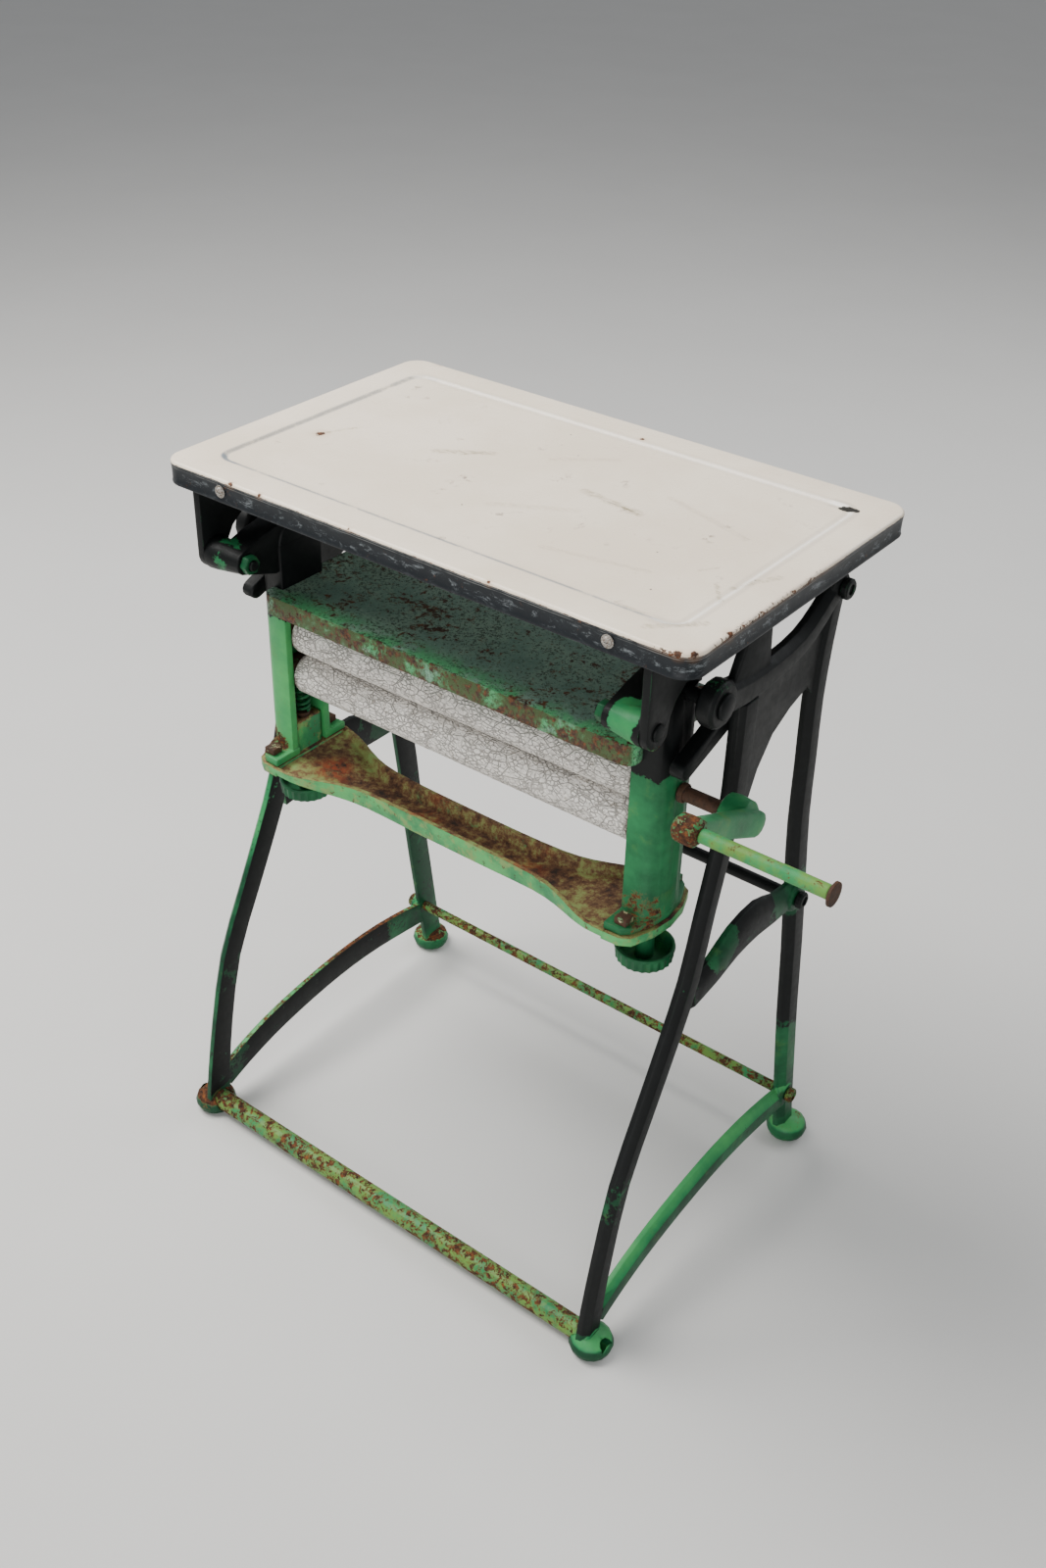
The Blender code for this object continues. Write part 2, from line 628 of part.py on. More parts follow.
def cross_bar():
    """The trough-shaped bar that the hand screws turn in, wide over each post and narrow between."""
    half = smooth_path(BAR_STATIONS, 2)
    lip = 0.0045
    loops = []
    for x, front, back, under, floor in [(-row[0], *row[1:]) for row in reversed(half[1:])] + half:
        loops.append(
            [(x, front, BAR_TOP), (x, front + 0.0020, under + 0.0020), (x, front + 0.0060, under),
             (x, back - 0.0060, under), (x, back - 0.0020, under + 0.0020), (x, back, BAR_TOP),
             (x, back - lip, BAR_TOP), (x, back - lip - 0.0040, floor), (x, front + lip + 0.0040, floor),
             (x, front + lip, BAR_TOP)]
        )
    parts = []
    for side in (-1, 1):
        end = [(side * x, y) for x, y in foot_outline(0)]
        parts.append(prism(end, "z", BAR_END_BOTTOM, BAR_TOP - 0.0005))
        low, high = sorted((side * 0.2170, side * (POST_WEB - 0.0012)))
        parts.append(box((low, WRINGER_Y - 0.0190, BAR_TOP - 0.004), (high, WRINGER_Y + 0.0190, 0.5125), 0.0030))
        centre = (side * SCREW_X, WRINGER_Y, 0)
        parts.append(cylinder("z", centre, SCREW_BOSS_BOTTOM, BAR_TOP - 0.005, 0.0115, 18))
    holes = [cylinder("z", (side * SCREW_X, WRINGER_Y, 0), 0.44, 0.53, 0.0062 + GAP, 16) for side in (-1, 1)]
    for side in (-1, 1):
        holes += [cylinder("z", (side * BOLT_X, y, 0), 0.44, 0.50, 0.0036 + GAP, 12) for y in BOLT_Y]
    return cut(union(loft(loops), *parts), *holes)


def post_bolt(side, y):
    """Square-headed bolt through the post's foot and the bar."""
    centre = (side * BOLT_X, y, 0)
    square = 0.0068
    head = box((centre[0] - square, y - square, FOOT_TOP + 0.0003), (centre[0] + square, y + square, FOOT_TOP + 0.0075), 0.0010)
    shank = cylinder("z", centre, BAR_END_BOTTOM - 0.0050, FOOT_TOP + 0.0020, 0.0036, 12)
    return union(head, shank)


def carry_bolt():
    """Bolt through the table's ear and the boss on the post's arm, with a flush head outside."""
    profile = [
        (0.0052, 0.2050), (0.0052, BRACKET_OUT + 0.0003), (0.0085, BRACKET_OUT + 0.0003), (0.0080, BRACKET_OUT + 0.0020),
        (0.0040, BRACKET_OUT + 0.0030), (0, BRACKET_OUT + 0.0032),
    ]
    return lathe(profile, "x", (0, CARRY_Y, SWING_Z), 16)


def carry_nut():
    nut = hexagon("x", (0, CARRY_Y, SWING_Z), CARRY_TIP - 0.0088, CARRY_TIP - 0.0003, 0.0175)
    return cut(nut, cylinder("x", (0, CARRY_Y, SWING_Z), 0.20, 0.25, 0.0052 + GAP, 16))


def bearing_block(z):
    """Block that slides in the post's channel and holds one roller's shaft."""
    low = (0.2165, WRINGER_Y - 0.0200, z - 0.0130)
    high = (POST_WEB - GAP, WRINGER_Y + 0.0200, z + 0.0130)
    return cut(box(low, high, 0.0015), cylinder("x", (0, WRINGER_Y, z), 0.20, 0.25, SHAFT_RADIUS + GAP, 20))


def build_wringer(wringer):
    green = (GREEN, 0.4, 0.0)
    rust = (RUST, 0.8, 0.2)
    casting = post()
    put("left_post", mirrored(casting), green, wringer)
    put("right_post", casting, green, wringer)
    put("water_tray", tray(), green, wringer)
    put("cross_bar", cross_bar(), green, wringer)
    for side, label in ((-1, "left"), (1, "right")):
        for y, place in zip(BOLT_Y, ("front", "rear")):
            put(f"{label}_{place}_post_bolt", post_bolt(side, y), rust, wringer)
    pairs = [
        ("carry_bolt", carry_bolt(), rust), ("carry_nut", carry_nut(), green),
        ("driven_bearing", bearing_block(DRIVEN_Z), rust),
    ]
    for name, mesh, look in pairs:
        put("left_" + name, mirrored(mesh), look, wringer)
        put("right_" + name, mesh, look, wringer)


# Rollers and crank


def roller_rubber(z):
    end = ROLLER_HALF
    radius = ROLLER_RADIUS
    bore = SHAFT_RADIUS + GAP
    profile = [(radius - 0.002, -end), (radius, -end + 0.002), (radius, end - 0.002), (radius - 0.002, end)]
    blank = lathe(profile, "x", (0, WRINGER_Y, z), 36)
    return cut(blank, cylinder("x", (0, WRINGER_Y, z), -0.3, 0.3, bore, 18))


def crank_point(along, across=0.0):
    """(y, z) of a point on the crank arm, from the shaft's centre."""
    direction = Vector((-math.cos(ARM_ANGLE), math.sin(ARM_ANGLE)))
    normal = Vector((direction.y, -direction.x))
    return Vector((WRINGER_Y, DRIVEN_Z)) + direction * along + normal * across


def crank_arm():
    """Hub, flat arm and round end, in one casting."""
    shaft = (0, WRINGER_Y, DRIVEN_Z)
    end = crank_point(ARM_LENGTH)
    hub = lathe(
        [(0.0140, 0.2960), (0.0180, 0.2985), (0.0190, 0.3080), (0.0178, 0.3200), (0.0120, 0.3260)], "x", shaft, 24
    )
    width = 0.0125
    rear = [crank_point(-math.sin(t) * width, math.cos(t) * width) for t in (k * math.pi / 6 for k in range(7))]
    flat = rear + [crank_point(ARM_LENGTH, -width * 0.72), crank_point(ARM_LENGTH, width * 0.72)]
    bar = prism([tuple(p) for p in flat], "x", ARM_X, ARM_X + ARM_THICK, 0.0030)
    knob = lathe(
        [(0.0085, 0.3130), (0.0125, 0.3165), (0.0130, 0.3250), (0.0125, 0.3335), (0.0090, 0.3365)],
        "x", (0, end.x, end.y), 20,
    )
    bore = cylinder("x", shaft, 0.28, 0.3240, SHAFT_RADIUS + GAP, 20)
    pin_hole = cylinder("x", (0, end.x, end.y), 0.30, 0.35, 0.0034 + GAP, 12)
    return cut(union(hub, bar, knob), bore, pin_hole)


def build_rollers(crank, grip, carriage, sprung):
    rust = (RUST, 0.7, 0.4)
    rubber = (RUBBER, 0.85, 0.0)
    green = (GREEN, 0.35, 0.0)
    axis = (0, WRINGER_Y, DRIVEN_Z)
    put("driven_shaft", cylinder("x", axis, -0.2335, 0.3235, SHAFT_RADIUS, 20, 0.0010), rust, crank)
    put("driven_rubber", roller_rubber(DRIVEN_Z), rubber, crank)
    collar = cut(cylinder("x", axis, 0.2508, 0.2566, 0.0095, 20, 0.0008), cylinder("x", axis, 0.24, 0.27, SHAFT_RADIUS + GAP, 20))
    put("shaft_collar", collar, rust, crank)
    put("crank_arm", crank_arm(), green, crank)
    end = crank_point(ARM_LENGTH)
    at_end = (0, end.x, end.y)
    pin = lathe([(0.0034, 0.3150), (0.0034, GRIP_END + 0.0004), (0.0085, GRIP_END + 0.0004),
                 (0.0110, GRIP_END + 0.0016), (0.0108, GRIP_END + CAP_THICK), (0.0050, GRIP_END + CAP_THICK)], "x", at_end, 18)
    put("crank_pin", pin, rust, crank)
    sleeve = cylinder("x", at_end, 0.3370, GRIP_END, GRIP_RADIUS, 18, 0.0008)
    put("handle_grip", cut(sleeve, cylinder("x", at_end, 0.30, 0.50, 0.0034 + GAP, 12)), green, grip)
    low_axis = (0, WRINGER_Y, SPRUNG_Z)
    put("sprung_shaft", cylinder("x", low_axis, -0.2335, 0.2335, SHAFT_RADIUS, 20, 0.0010), rust, sprung)
    put("sprung_rubber", roller_rubber(SPRUNG_Z), rubber, sprung)
    block = bearing_block(SPRUNG_Z)
    put("left_sprung_bearing", mirrored(block), rust, carriage)
    put("right_sprung_bearing", block, rust, carriage)


# Hand screws


SEAT_Z = 0.5146
SEAT_THICK = 0.0030
SPRING_RADIUS = 0.0076
WIRE_RADIUS = 0.0015
SPRING_TOP = SPRUNG_Z - 0.0130 - GAP


def spring(x):
    """Pressure spring between its seat and the sprung bearing."""
    low = SEAT_Z + SEAT_THICK + GAP + WIRE_RADIUS
    high = SPRING_TOP - WIRE_RADIUS
    turns = 5
    steps = 10 * turns
    loops = []
    for i in range(steps + 1):
        t = i / steps
        turn = 2 * math.pi * turns * t
        out = Vector((math.cos(turn), math.sin(turn), 0))
        centre = Vector((x, WRINGER_Y, low + (high - low) * t)) + out * SPRING_RADIUS
        loops.append(
            [centre + (out * math.cos(a) + Vector((0, 0, 1)) * math.sin(a)) * WIRE_RADIUS
             for a in (2 * math.pi * k / 5 for k in range(5))]
        )
    return loft(loops)


def hand_wheel(x):
    """Cup-shaped wheel with a ribbed rim and a hub. The cup is open towards the bar."""
    ribs = 24
    sides = 2 * ribs

    def ring(radius, z, depth=0.0):
        points = []
        for i in range(sides):
            turn = 2 * math.pi * i / sides
            r = radius - (depth if i % 2 else 0)
            points.append((x + r * math.cos(turn), WRINGER_Y + r * math.sin(turn), z))
        return points

    low, high = WHEEL_BOTTOM, WHEEL_BOTTOM + WHEEL_HEIGHT
    edge = WHEEL_RADIUS
    loops = [
        ring(edge - 0.0080, low), ring(edge - 0.0015, low + 0.0030, 0.0012),
        ring(edge - 0.0006, high - 0.0032, 0.0012), ring(edge, high - 0.0026), ring(edge - 0.0006, high),
        ring(edge - 0.0030, high), ring(edge - 0.0050, low + 0.0040), ring(0.0092, low + 0.0040),
        ring(0.0088, SCREW_BOSS_BOTTOM - 0.0160), ring(0.0080, SCREW_BOSS_BOTTOM - 0.0150),
    ]
    return loft(loops)


def build_hand_screws(label, x, seat, screw):
    rust = (RUST, 0.7, 0.4)
    green = (GREEN, 0.4, 0.0)
    disc = cylinder("z", (x, WRINGER_Y, 0), SEAT_Z, SEAT_Z + SEAT_THICK, 0.0080, 20, 0.0005)
    put(label + "_spring_seat", disc, rust, seat)
    put(label + "_pressure_spring", spring(x), green, seat)
    thread = cylinder("z", (x, WRINGER_Y, 0), SCREW_BOSS_BOTTOM - 0.0146, SEAT_Z - 0.0003, 0.0060, 18, 0.0010)
    put(label + "_hand_screw", thread, rust, screw)
    put(label + "_hand_wheel", hand_wheel(x), green, screw)


def main():
    clear_scene()
    stand = axis_empty("stand_origin", None, (0, 0, 0))
    stand.location = (-X_MIDDLE, -Y_MIDDLE, 0)
    swing = axis_empty("wringer_swing_axis", stand, (0, WRINGER_Y, SWING_Z))
    table = axis_empty("table_carry_axis", swing, (0, CARRY_Y, SWING_Z))
    crank = axis_empty("crank_axis", swing, (0, WRINGER_Y, DRIVEN_Z))
    end = crank_point(ARM_LENGTH)
    grip = axis_empty("grip_axis", crank, (0.40, end.x, end.y))
    carriage = axis_empty("roller_carriage", swing, (0, WRINGER_Y, SPRUNG_Z))
    sprung = axis_empty("sprung_roller_axis", carriage, (0, WRINGER_Y, SPRUNG_Z))
    build_stand(stand)
    build_table(table)
    build_wringer(swing)
    build_rollers(crank, grip, carriage, sprung)
    for label, x in (("left", -SCREW_X), ("right", SCREW_X)):
        seat = axis_empty(label + "_seat", swing, (x, WRINGER_Y, SEAT_Z))
        screw = axis_empty(label + "_screw_axis", seat, (x, WRINGER_Y, SEAT_Z))
        build_hand_screws(label, x, seat, screw)


main()
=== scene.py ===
"""Looks of a kitchen wringer table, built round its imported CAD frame. Metres, +Z up, -Y is the front."""

import math

import bmesh
import bpy
from mathutils import Matrix, Vector, noise


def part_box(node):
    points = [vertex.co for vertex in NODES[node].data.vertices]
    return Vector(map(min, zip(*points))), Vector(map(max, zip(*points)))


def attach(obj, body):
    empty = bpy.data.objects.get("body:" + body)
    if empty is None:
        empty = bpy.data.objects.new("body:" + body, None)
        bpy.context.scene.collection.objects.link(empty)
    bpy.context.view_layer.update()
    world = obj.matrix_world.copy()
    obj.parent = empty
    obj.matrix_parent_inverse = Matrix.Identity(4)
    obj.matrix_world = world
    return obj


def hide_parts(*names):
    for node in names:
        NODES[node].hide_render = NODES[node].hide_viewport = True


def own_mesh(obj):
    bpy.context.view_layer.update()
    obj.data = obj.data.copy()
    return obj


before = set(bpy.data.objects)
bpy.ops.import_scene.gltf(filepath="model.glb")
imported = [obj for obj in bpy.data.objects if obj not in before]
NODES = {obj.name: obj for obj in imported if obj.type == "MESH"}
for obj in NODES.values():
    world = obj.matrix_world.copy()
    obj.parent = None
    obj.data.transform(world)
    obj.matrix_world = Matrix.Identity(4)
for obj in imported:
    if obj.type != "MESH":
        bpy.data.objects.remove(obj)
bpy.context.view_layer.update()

# All places below are counted from the floor under the middle of the table top.
TOP_LOW, TOP_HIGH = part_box("enamel_table_top")
TOP_HALF = (TOP_HIGH - TOP_LOW) / 2
TOP = TOP_HIGH.z
ORIGIN = Vector(((TOP_LOW.x + TOP_HIGH.x) / 2, (TOP_LOW.y + TOP_HIGH.y) / 2, 0))

# Camera
FOCAL_MM = 38.04
SENSOR_MM = 36.0
CAMERA_PLACE = Vector((0.880, -1.161, 1.450))
CAMERA_AZIMUTH = math.radians(37.12)
CAMERA_ELEVATION = math.radians(33.93)
CAMERA_ROLL = math.radians(1.50)

# Enamel pan
RIM_DEPTH = 0.025
SHEET = 0.0018
CORNER = 0.022
LEAST_CORNER = 0.008
STEP_INSET = 0.038
STEP_WIDTH = 0.0040
STEP_DROP = 0.0020
STEP_RADIUS = 0.017
EDGE_ROLL = 0.0036
CORNER_STEPS = 16
SIDE_STEPS = 24
PROFILE_STEPS = 8

# Roller coverings
ROLLER_BORE = 0.0076
ROLLER_STEPS = 300
ROLLER_SIDES = 128

# Pressure springs
SPRING_WIRE = 0.0017
SPRING_RADIUS = 0.0074
SPRING_TURNS = 6.0
SPRING_STEPS = 260
SPRING_SIDES = 12
SPRING_CLOSED = 0.055

# Edges of the cast pieces that turn by more than this are rounded, or stay sharp where nothing rounds them.
SHARP = math.radians(38)
WHEEL_SHARP = math.radians(10)
EDGE_SEGMENTS = 2

# Paint and rust, linear
BLACK = (0.0030, 0.0038, 0.0038, 1)
BLACK_DUSTY = (0.0062, 0.0078, 0.0078, 1)
GREEN_DEEP = (0.004, 0.045, 0.018, 1)
GREEN = (0.022, 0.195, 0.068, 1)
GREEN_PALE = (0.085, 0.400, 0.110, 1)
GREEN_YELLOW = (0.135, 0.250, 0.042, 1)
PAINT_SPECK = (0.010, 0.016, 0.013, 1)
PAINT_STAIN = (0.150, 0.120, 0.040, 1)
PAINT_LIP = (0.004, 0.020, 0.010, 1)
OLD_CREAM = (0.48, 0.40, 0.23, 1)
RUST_DARK = (0.012, 0.007, 0.005, 1)
RUST_BROWN = (0.060, 0.028, 0.015, 1)
RUST = (0.066, 0.028, 0.014, 1)
RUST_ORANGE = (0.260, 0.082, 0.020, 1)

# Water tray and lower bar
TRAY_WASH = (0.150, 0.265, 0.205, 1)
TRAY_WASH_PALE = (0.260, 0.400, 0.300, 1)
TRAY_FRONT = (0.080, 0.360, 0.140, 1)
TRAY_SPECK = (0.012, 0.016, 0.014, 1)
TRAY_FLECK = (0.42, 0.50, 0.40, 1)
TRAY_LIP = (0.055, 0.085, 0.026, 1)
TRAY_STAIN = (0.110, 0.070, 0.030, 1)
BAR_OLIVE = (0.240, 0.300, 0.090, 1)
BAR_ORANGE = (0.300, 0.048, 0.012, 1)
BAR_HOLLOW = (
    (0.36, (0.016, 0.010, 0.007, 1)), (0.44, (0.072, 0.028, 0.012, 1)), (0.51, (0.150, 0.080, 0.032, 1)),
    (0.57, (0.200, 0.205, 0.062, 1)), (0.70, (0.210, 0.330, 0.100, 1)),
)

# Enamel
CREAM = (0.880, 0.775, 0.630, 1)
CREAM_SHADE = (0.800, 0.690, 0.545, 1)
CREAM_DIRT = (0.36, 0.33, 0.27, 1)
CREAM_SPECK = (0.08, 0.065, 0.05, 1)
# Painted light on the step: painted shade on its left and front slopes, a painted highlight on its right and
# back slopes, and a painted shade line just outside that highlight.
STEP_SLOPE_SHADE = (0.225, 0.250, 0.270, 1)
STEP_HIGHLIGHT = (0.980, 0.930, 0.840, 1)
STEP_SHADE = (0.380, 0.350, 0.300, 1)
OLIVE = (0.200, 0.155, 0.060, 1)
SCRATCH = (0.060, 0.050, 0.036, 1)
BLACK_STAIN = (0.022, 0.020, 0.016, 1)
RUST_BLEED = (0.42, 0.20, 0.07, 1)
RIM_BLUE = (0.0042, 0.0066, 0.0094, 1)
RIM_DUSTY = (0.0088, 0.0124, 0.0160, 1)
RIM_WORN = (0.170, 0.190, 0.200, 1)
# Painted highlight colour for the rim's rounded top edge.
RIM_HIGHLIGHT = (0.42, 0.42, 0.40, 1)

# Roller covering and steel
ROLLER = (0.930, 0.890, 0.830, 1)
ROLLER_SHADE = (0.820, 0.775, 0.710, 1)
ROLLER_GRAIN = (0.690, 0.650, 0.590, 1)
ROLLER_SPOT = (0.250, 0.190, 0.130, 1)
ROLLER_DUST = (0.420, 0.380, 0.330, 1)
ROLLER_CRACK = (0.110, 0.092, 0.075, 1)
ROLLER_END = (0.07, 0.042, 0.025, 1)
STEEL = (0.330, 0.310, 0.280, 1)
STEEL_RUST = (0.16, 0.10, 0.06, 1)
STEEL_EDGE = (0.50, 0.48, 0.44, 1)

# Stage
FLOOR = (0.60, 0.59, 0.57, 1)
FLOOR_PALE = (0.64, 0.63, 0.61, 1)
FLOOR_HALF = 30
SKY = (0.90, 0.93, 0.97, 1)
SKY_STRENGTH = 0.40
WARM = (1.0, 0.985, 0.96)
COOL = (0.95, 0.98, 1.0)
NEUTRAL = (1, 1, 1)

# Marks on the table top. Stains and scratches are (start, end, width, strength), chips are (place, radius).
STAINS = [
    ((-0.118, 0.002), (-0.072, 0.034), 0.0110, 0.50),
    ((-0.094, 0.010), (-0.080, 0.030), 0.0050, 0.55),
    ((0.050, 0.020), (0.118, 0.012), 0.0120, 0.55),
    ((0.098, 0.014), (0.116, 0.010), 0.0060, 0.90),
    ((0.222, -0.050), (0.232, -0.034), 0.0050, 0.80),
    ((0.246, -0.060), (0.268, -0.088), 0.0060, 0.55),
    ((0.204, -0.144), (0.232, -0.143), 0.0050, 0.60),
    ((0.262, -0.060), (0.284, -0.020), 0.0080, 0.45),
    ((0.246, -0.165), (0.280, -0.130), 0.0080, 0.45),
    ((-0.232, -0.036), (-0.214, 0.000), 0.0050, 0.65),
    ((0.000, -0.060), (0.070, -0.020), 0.0100, 0.25),
    ((0.120, 0.060), (0.220, 0.030), 0.0090, 0.25),
    ((-0.020, 0.060), (0.030, 0.100), 0.0090, 0.22),
    ((0.090, -0.100), (0.190, -0.080), 0.0080, 0.25),
]
SCRATCHES = [
    ((0.036, -0.010), (0.0265, 0.057), 0.0013, 0.80),
    ((0.150, -0.104), (0.139, -0.098), 0.0018, 0.95),
    ((0.254, -0.069), (0.259, -0.062), 0.0022, 0.95),
    ((0.2265, -0.039), (0.229, -0.036), 0.0022, 0.95),
    ((0.209, -0.144), (0.219, -0.144), 0.0026, 0.95),
    ((0.081, 0.0145), (0.110, 0.013), 0.0030, 0.70),
    ((-0.093, 0.012), (-0.080, 0.030), 0.0026, 0.65),
    ((-0.2335, -0.039), (-0.222, -0.010), 0.0026, 0.60),
    ((0.10, -0.03), (0.17, 0.05), 0.0010, 0.45),
    ((-0.15, 0.10), (-0.02, 0.13), 0.0010, 0.40),
    ((-0.106, 0.061), (-0.098, 0.069), 0.0022, 0.80),
    ((0.06, -0.12), (0.20, -0.07), 0.0009, 0.40),
]
CHIPS = [
    ((-0.2335, -0.040), 0.0110), ((0.290, -0.1850), 0.0080), ((0.301, -0.1770), 0.0085),
    ((0.305, -0.130), 0.0090), ((-0.210, -0.1865), 0.0065), ((-0.172, -0.1865), 0.0060),
    ((-0.060, -0.1865), 0.0045), ((-0.267, 0.1865), 0.0075), ((0.0215, 0.1560), 0.0055),
    ((0.100, -0.1865), 0.0055),
]
BLACK_MARK = ((0.254, 0.144), (0.268, 0.1435), 0.0075)

# Wear of the paint. A spot is (layer, place, radius, amount), and shifts that layer's level near the place.
BRACKET_SPOTS = [
    ("rust", (0.266, -0.168, 0.700), 0.020, 0.22),
    ("black", (0.262, -0.172, 0.700), 0.018, -0.22),
    ("light", (0.262, -0.172, 0.700), 0.030, 0.30),
]
POST_SPOTS = [
    ("rust", (0.235, -0.125, 0.49), 0.040, 0.20),
    ("rust", (-0.25, -0.13, 0.48), 0.050, 0.24),
    ("black", (0.24, -0.167, 0.722), 0.034, -0.64),
    ("black", (-0.24, -0.167, 0.722), 0.034, -0.42),
    ("rust", (-0.216, -0.12, 0.56), 0.050, 0.10),
    ("light", (-0.24, -0.10, 0.56), 0.16, 0.48),
    ("light", (0.24, -0.167, 0.722), 0.04, 0.30),
    ("light", (0.24, -0.10, 0.56), 0.14, 0.02),
]
ARM_SPOTS = [
    ("rust", (0.325, -0.203, 0.670), 0.024, 0.30),
    ("light", (0.40, -0.30, 0.60), 0.16, 0.15),
]

# How much green shows through the black of each end frame: on its rail, on its rear leg up to a height, and
# down the front of its legs.
FRAME_GREEN = {
    "left": {"rail": 0.12, "rear": 0.30, "rear_top": 0.45, "front": 0.42},
    "right": {"rail": 0.50, "rear": 0.42, "rear_top": 0.23, "front": 0.02},
}
FRAME_X = 0.28


def at(x, y, z):
    """A place counted from the floor under the middle of the table top."""
    return ORIGIN + Vector((x, y, z))


# Materials


class Graph:
    """One material's nodes. Most methods add a node and return its output."""

    def __init__(self, name):
        self.material = bpy.data.materials.new(name)
        self.material.use_nodes = True
        self.nodes = self.material.node_tree.nodes
        self.links = self.material.node_tree.links
        self.shader = self.nodes["Principled BSDF"]
        self.rounded = None
        coordinates = self.nodes.new("ShaderNodeTexCoord").outputs
        self.place = self.vector("SUBTRACT", coordinates["Object"], ORIGIN)
        self.x, self.y, self.z = self.split(self.place)
        _, self.back, self.up = self.split(coordinates["Normal"])

    def add(self, kind, inputs, output=0, **settings):
        node = self.nodes.new(kind)
        for key, value in settings.items():
            setattr(node, key, value)
        for key, value in inputs.items():
            self.join(node.inputs[key], value)
        return node.outputs[output]

    def join(self, socket, value):
        if isinstance(value, bpy.types.NodeSocket):
            self.links.new(value, socket)
        else:
            socket.default_value = value

    def split(self, vector):
        node = self.nodes.new("ShaderNodeSeparateXYZ")
        self.links.new(vector, node.inputs[0])
        return node.outputs

    def vector(self, operation, a, b, output=0):
        return self.add("ShaderNodeVectorMath", {0: a, 1: b}, output, operation=operation)

    def math(self, operation, a, b=0.0, c=0.0):
        return self.add("ShaderNodeMath", {0: a, 1: b, 2: c}, operation=operation)

    def times(self, *factors):
        total = factors[0]
        for factor in factors[1:]:
            total = self.math("MULTIPLY", total, factor)
        return total

    def sum(self, *terms):
        """Adds (value, weight) pairs."""
        total = 0.0
        for value, weight in terms:
            total = self.math("MULTIPLY_ADD", value, weight, total)
        return total

    def stretched(self, stretch):
        return self.vector("MULTIPLY", self.place, stretch) if stretch else self.place

    def noise(self, scale, detail=5.0, rough=0.6, warp=0.0, stretch=None):
        inputs = {"Vector": self.stretched(stretch), "Scale": scale}
        inputs |= {"Detail": detail, "Roughness": rough, "Distortion": warp}
        return self.add("ShaderNodeTexNoise", inputs)

    def cells(self, scale, feature="F1", stretch=None):
        inputs = {"Vector": self.stretched(stretch), "Scale": scale}
        return self.add("ShaderNodeTexVoronoi", inputs, "Distance", feature=feature)

    def band(self, value, low, high):
        """0 below low, 1 above high, smooth between."""
        inputs = {"Value": value, "From Min": low, "From Max": high}
        return self.add("ShaderNodeMapRange", inputs, interpolation_type="SMOOTHSTEP")

    def below(self, value, low, high):
        """1 below low, 0 above high, smooth between."""
        return self.math("SUBTRACT", 1.0, self.band(value, low, high))

    def mix(self, share, low, high):
        return self.add("ShaderNodeMix", {0: share, 6: low, 7: high}, 2, data_type="RGBA")

    def ramp(self, value, *stops):
        node = self.nodes.new("ShaderNodeValToRGB")
        self.links.new(value, node.inputs[0])
        elements = node.color_ramp.elements
        while len(elements) < len(stops):
            elements.new(0.5)
        for element, (position, colour) in zip(elements, stops):
            element.position = position
            element.color = colour
        return node.outputs[0]

    def distance(self, a, b):
        return self.vector("DISTANCE", a, b, "Value")

    def near(self, place, inner, outer):
        """1 within inner of a place, 0 beyond outer."""
        return self.below(self.distance(self.place, place), inner, outer)

    def stroke(self, start, end, width):
        """1 along a straight line on the table top, 0 beyond width from it."""
        start = Vector((*start, TOP))
        along = Vector((*end, TOP)) - start
        out = self.vector("SUBTRACT", self.place, start)
        share = self.vector("DOT_PRODUCT", out, along / along.length_squared, "Value")
        share = self.math("MAXIMUM", self.math("MINIMUM", share, 1.0), 0.0)
        foot = self.add("ShaderNodeVectorMath", {0: along, "Scale": share}, operation="SCALE")
        return self.below(self.distance(out, foot), width * 0.3, width)

    def edge(self, radius):
        """Near 1 along convex and concave edges, 0 on open surfaces."""
        self.rounded = self.add("ShaderNodeBevel", {"Radius": radius}, samples=4)
        normal = self.nodes.new("ShaderNodeNewGeometry").outputs["Normal"]
        return self.below(self.vector("DOT_PRODUCT", self.rounded, normal, "Value"), 0.72, 0.985)

    def finish(self, colour, roughness, height, distance, metallic=0.0, strength=1.0, specular=0.5):
        bump = {"Height": height, "Distance": distance, "Strength": strength}
        if self.rounded:
            bump["Normal"] = self.rounded
        sockets = {"Base Color": colour, "Roughness": roughness, "Metallic": metallic}
        sockets |= {"Specular IOR Level": specular, "Normal": self.add("ShaderNodeBump", bump)}
        for name, value in sockets.items():
            self.join(self.shader.inputs[name], value)
        return self.material


def rust_colour(g):
    return g.ramp(g.noise(190, 6, 0.72), (0.34, RUST_DARK), (0.50, RUST), (0.74, RUST_ORANGE))


def paint_levels(g, black, rust, light, spots, tops):
    """The black, rust and light levels of painted iron, shifted near each spot and on low upward faces."""
    levels = {"black": black, "rust": rust, "light": light}
    for layer, place, radius, amount in spots:
        near = g.near(place, radius * 0.35, radius)
        levels[layer] = g.math("MULTIPLY_ADD", near, amount, levels[layer])
    if tops:
        flat = g.times(g.band(g.up, 0.35, 0.70), g.below(g.z, 0.135, 0.150))
        for layer, amount in (("rust", tops), ("black", -0.30), ("light", 0.60)):
            levels[layer] = g.math("MULTIPLY_ADD", flat, amount, levels[layer])
    return levels


def green_tint(g, light, mottle, yellow):
    """Green paint from deep to pale, with olive patches and, where mottle is given, dark specks."""
    shade = g.sum((light, 1.0), (g.noise(18, 5, 0.62), 1.0), (1.0, -0.5))
    tint = g.ramp(shade, (0.0, GREEN_DEEP), (0.42, GREEN), (1.0, GREEN_PALE))
    patches = g.band(g.noise(38, 6, 0.66), 0.56 - yellow * 0.3, 0.74 - yellow * 0.3)
    tint = g.mix(g.times(patches, 0.30 + yellow), tint, GREEN_YELLOW)
    if mottle:
        spotting = g.sum((g.noise(170, 8, 0.78), 0.75), (g.noise(30, 4, 0.6), 0.25))
        tint = g.mix(g.band(g.math("SUBTRACT", mottle, spotting), -0.010, 0.015), tint, PAINT_SPECK)
    return tint


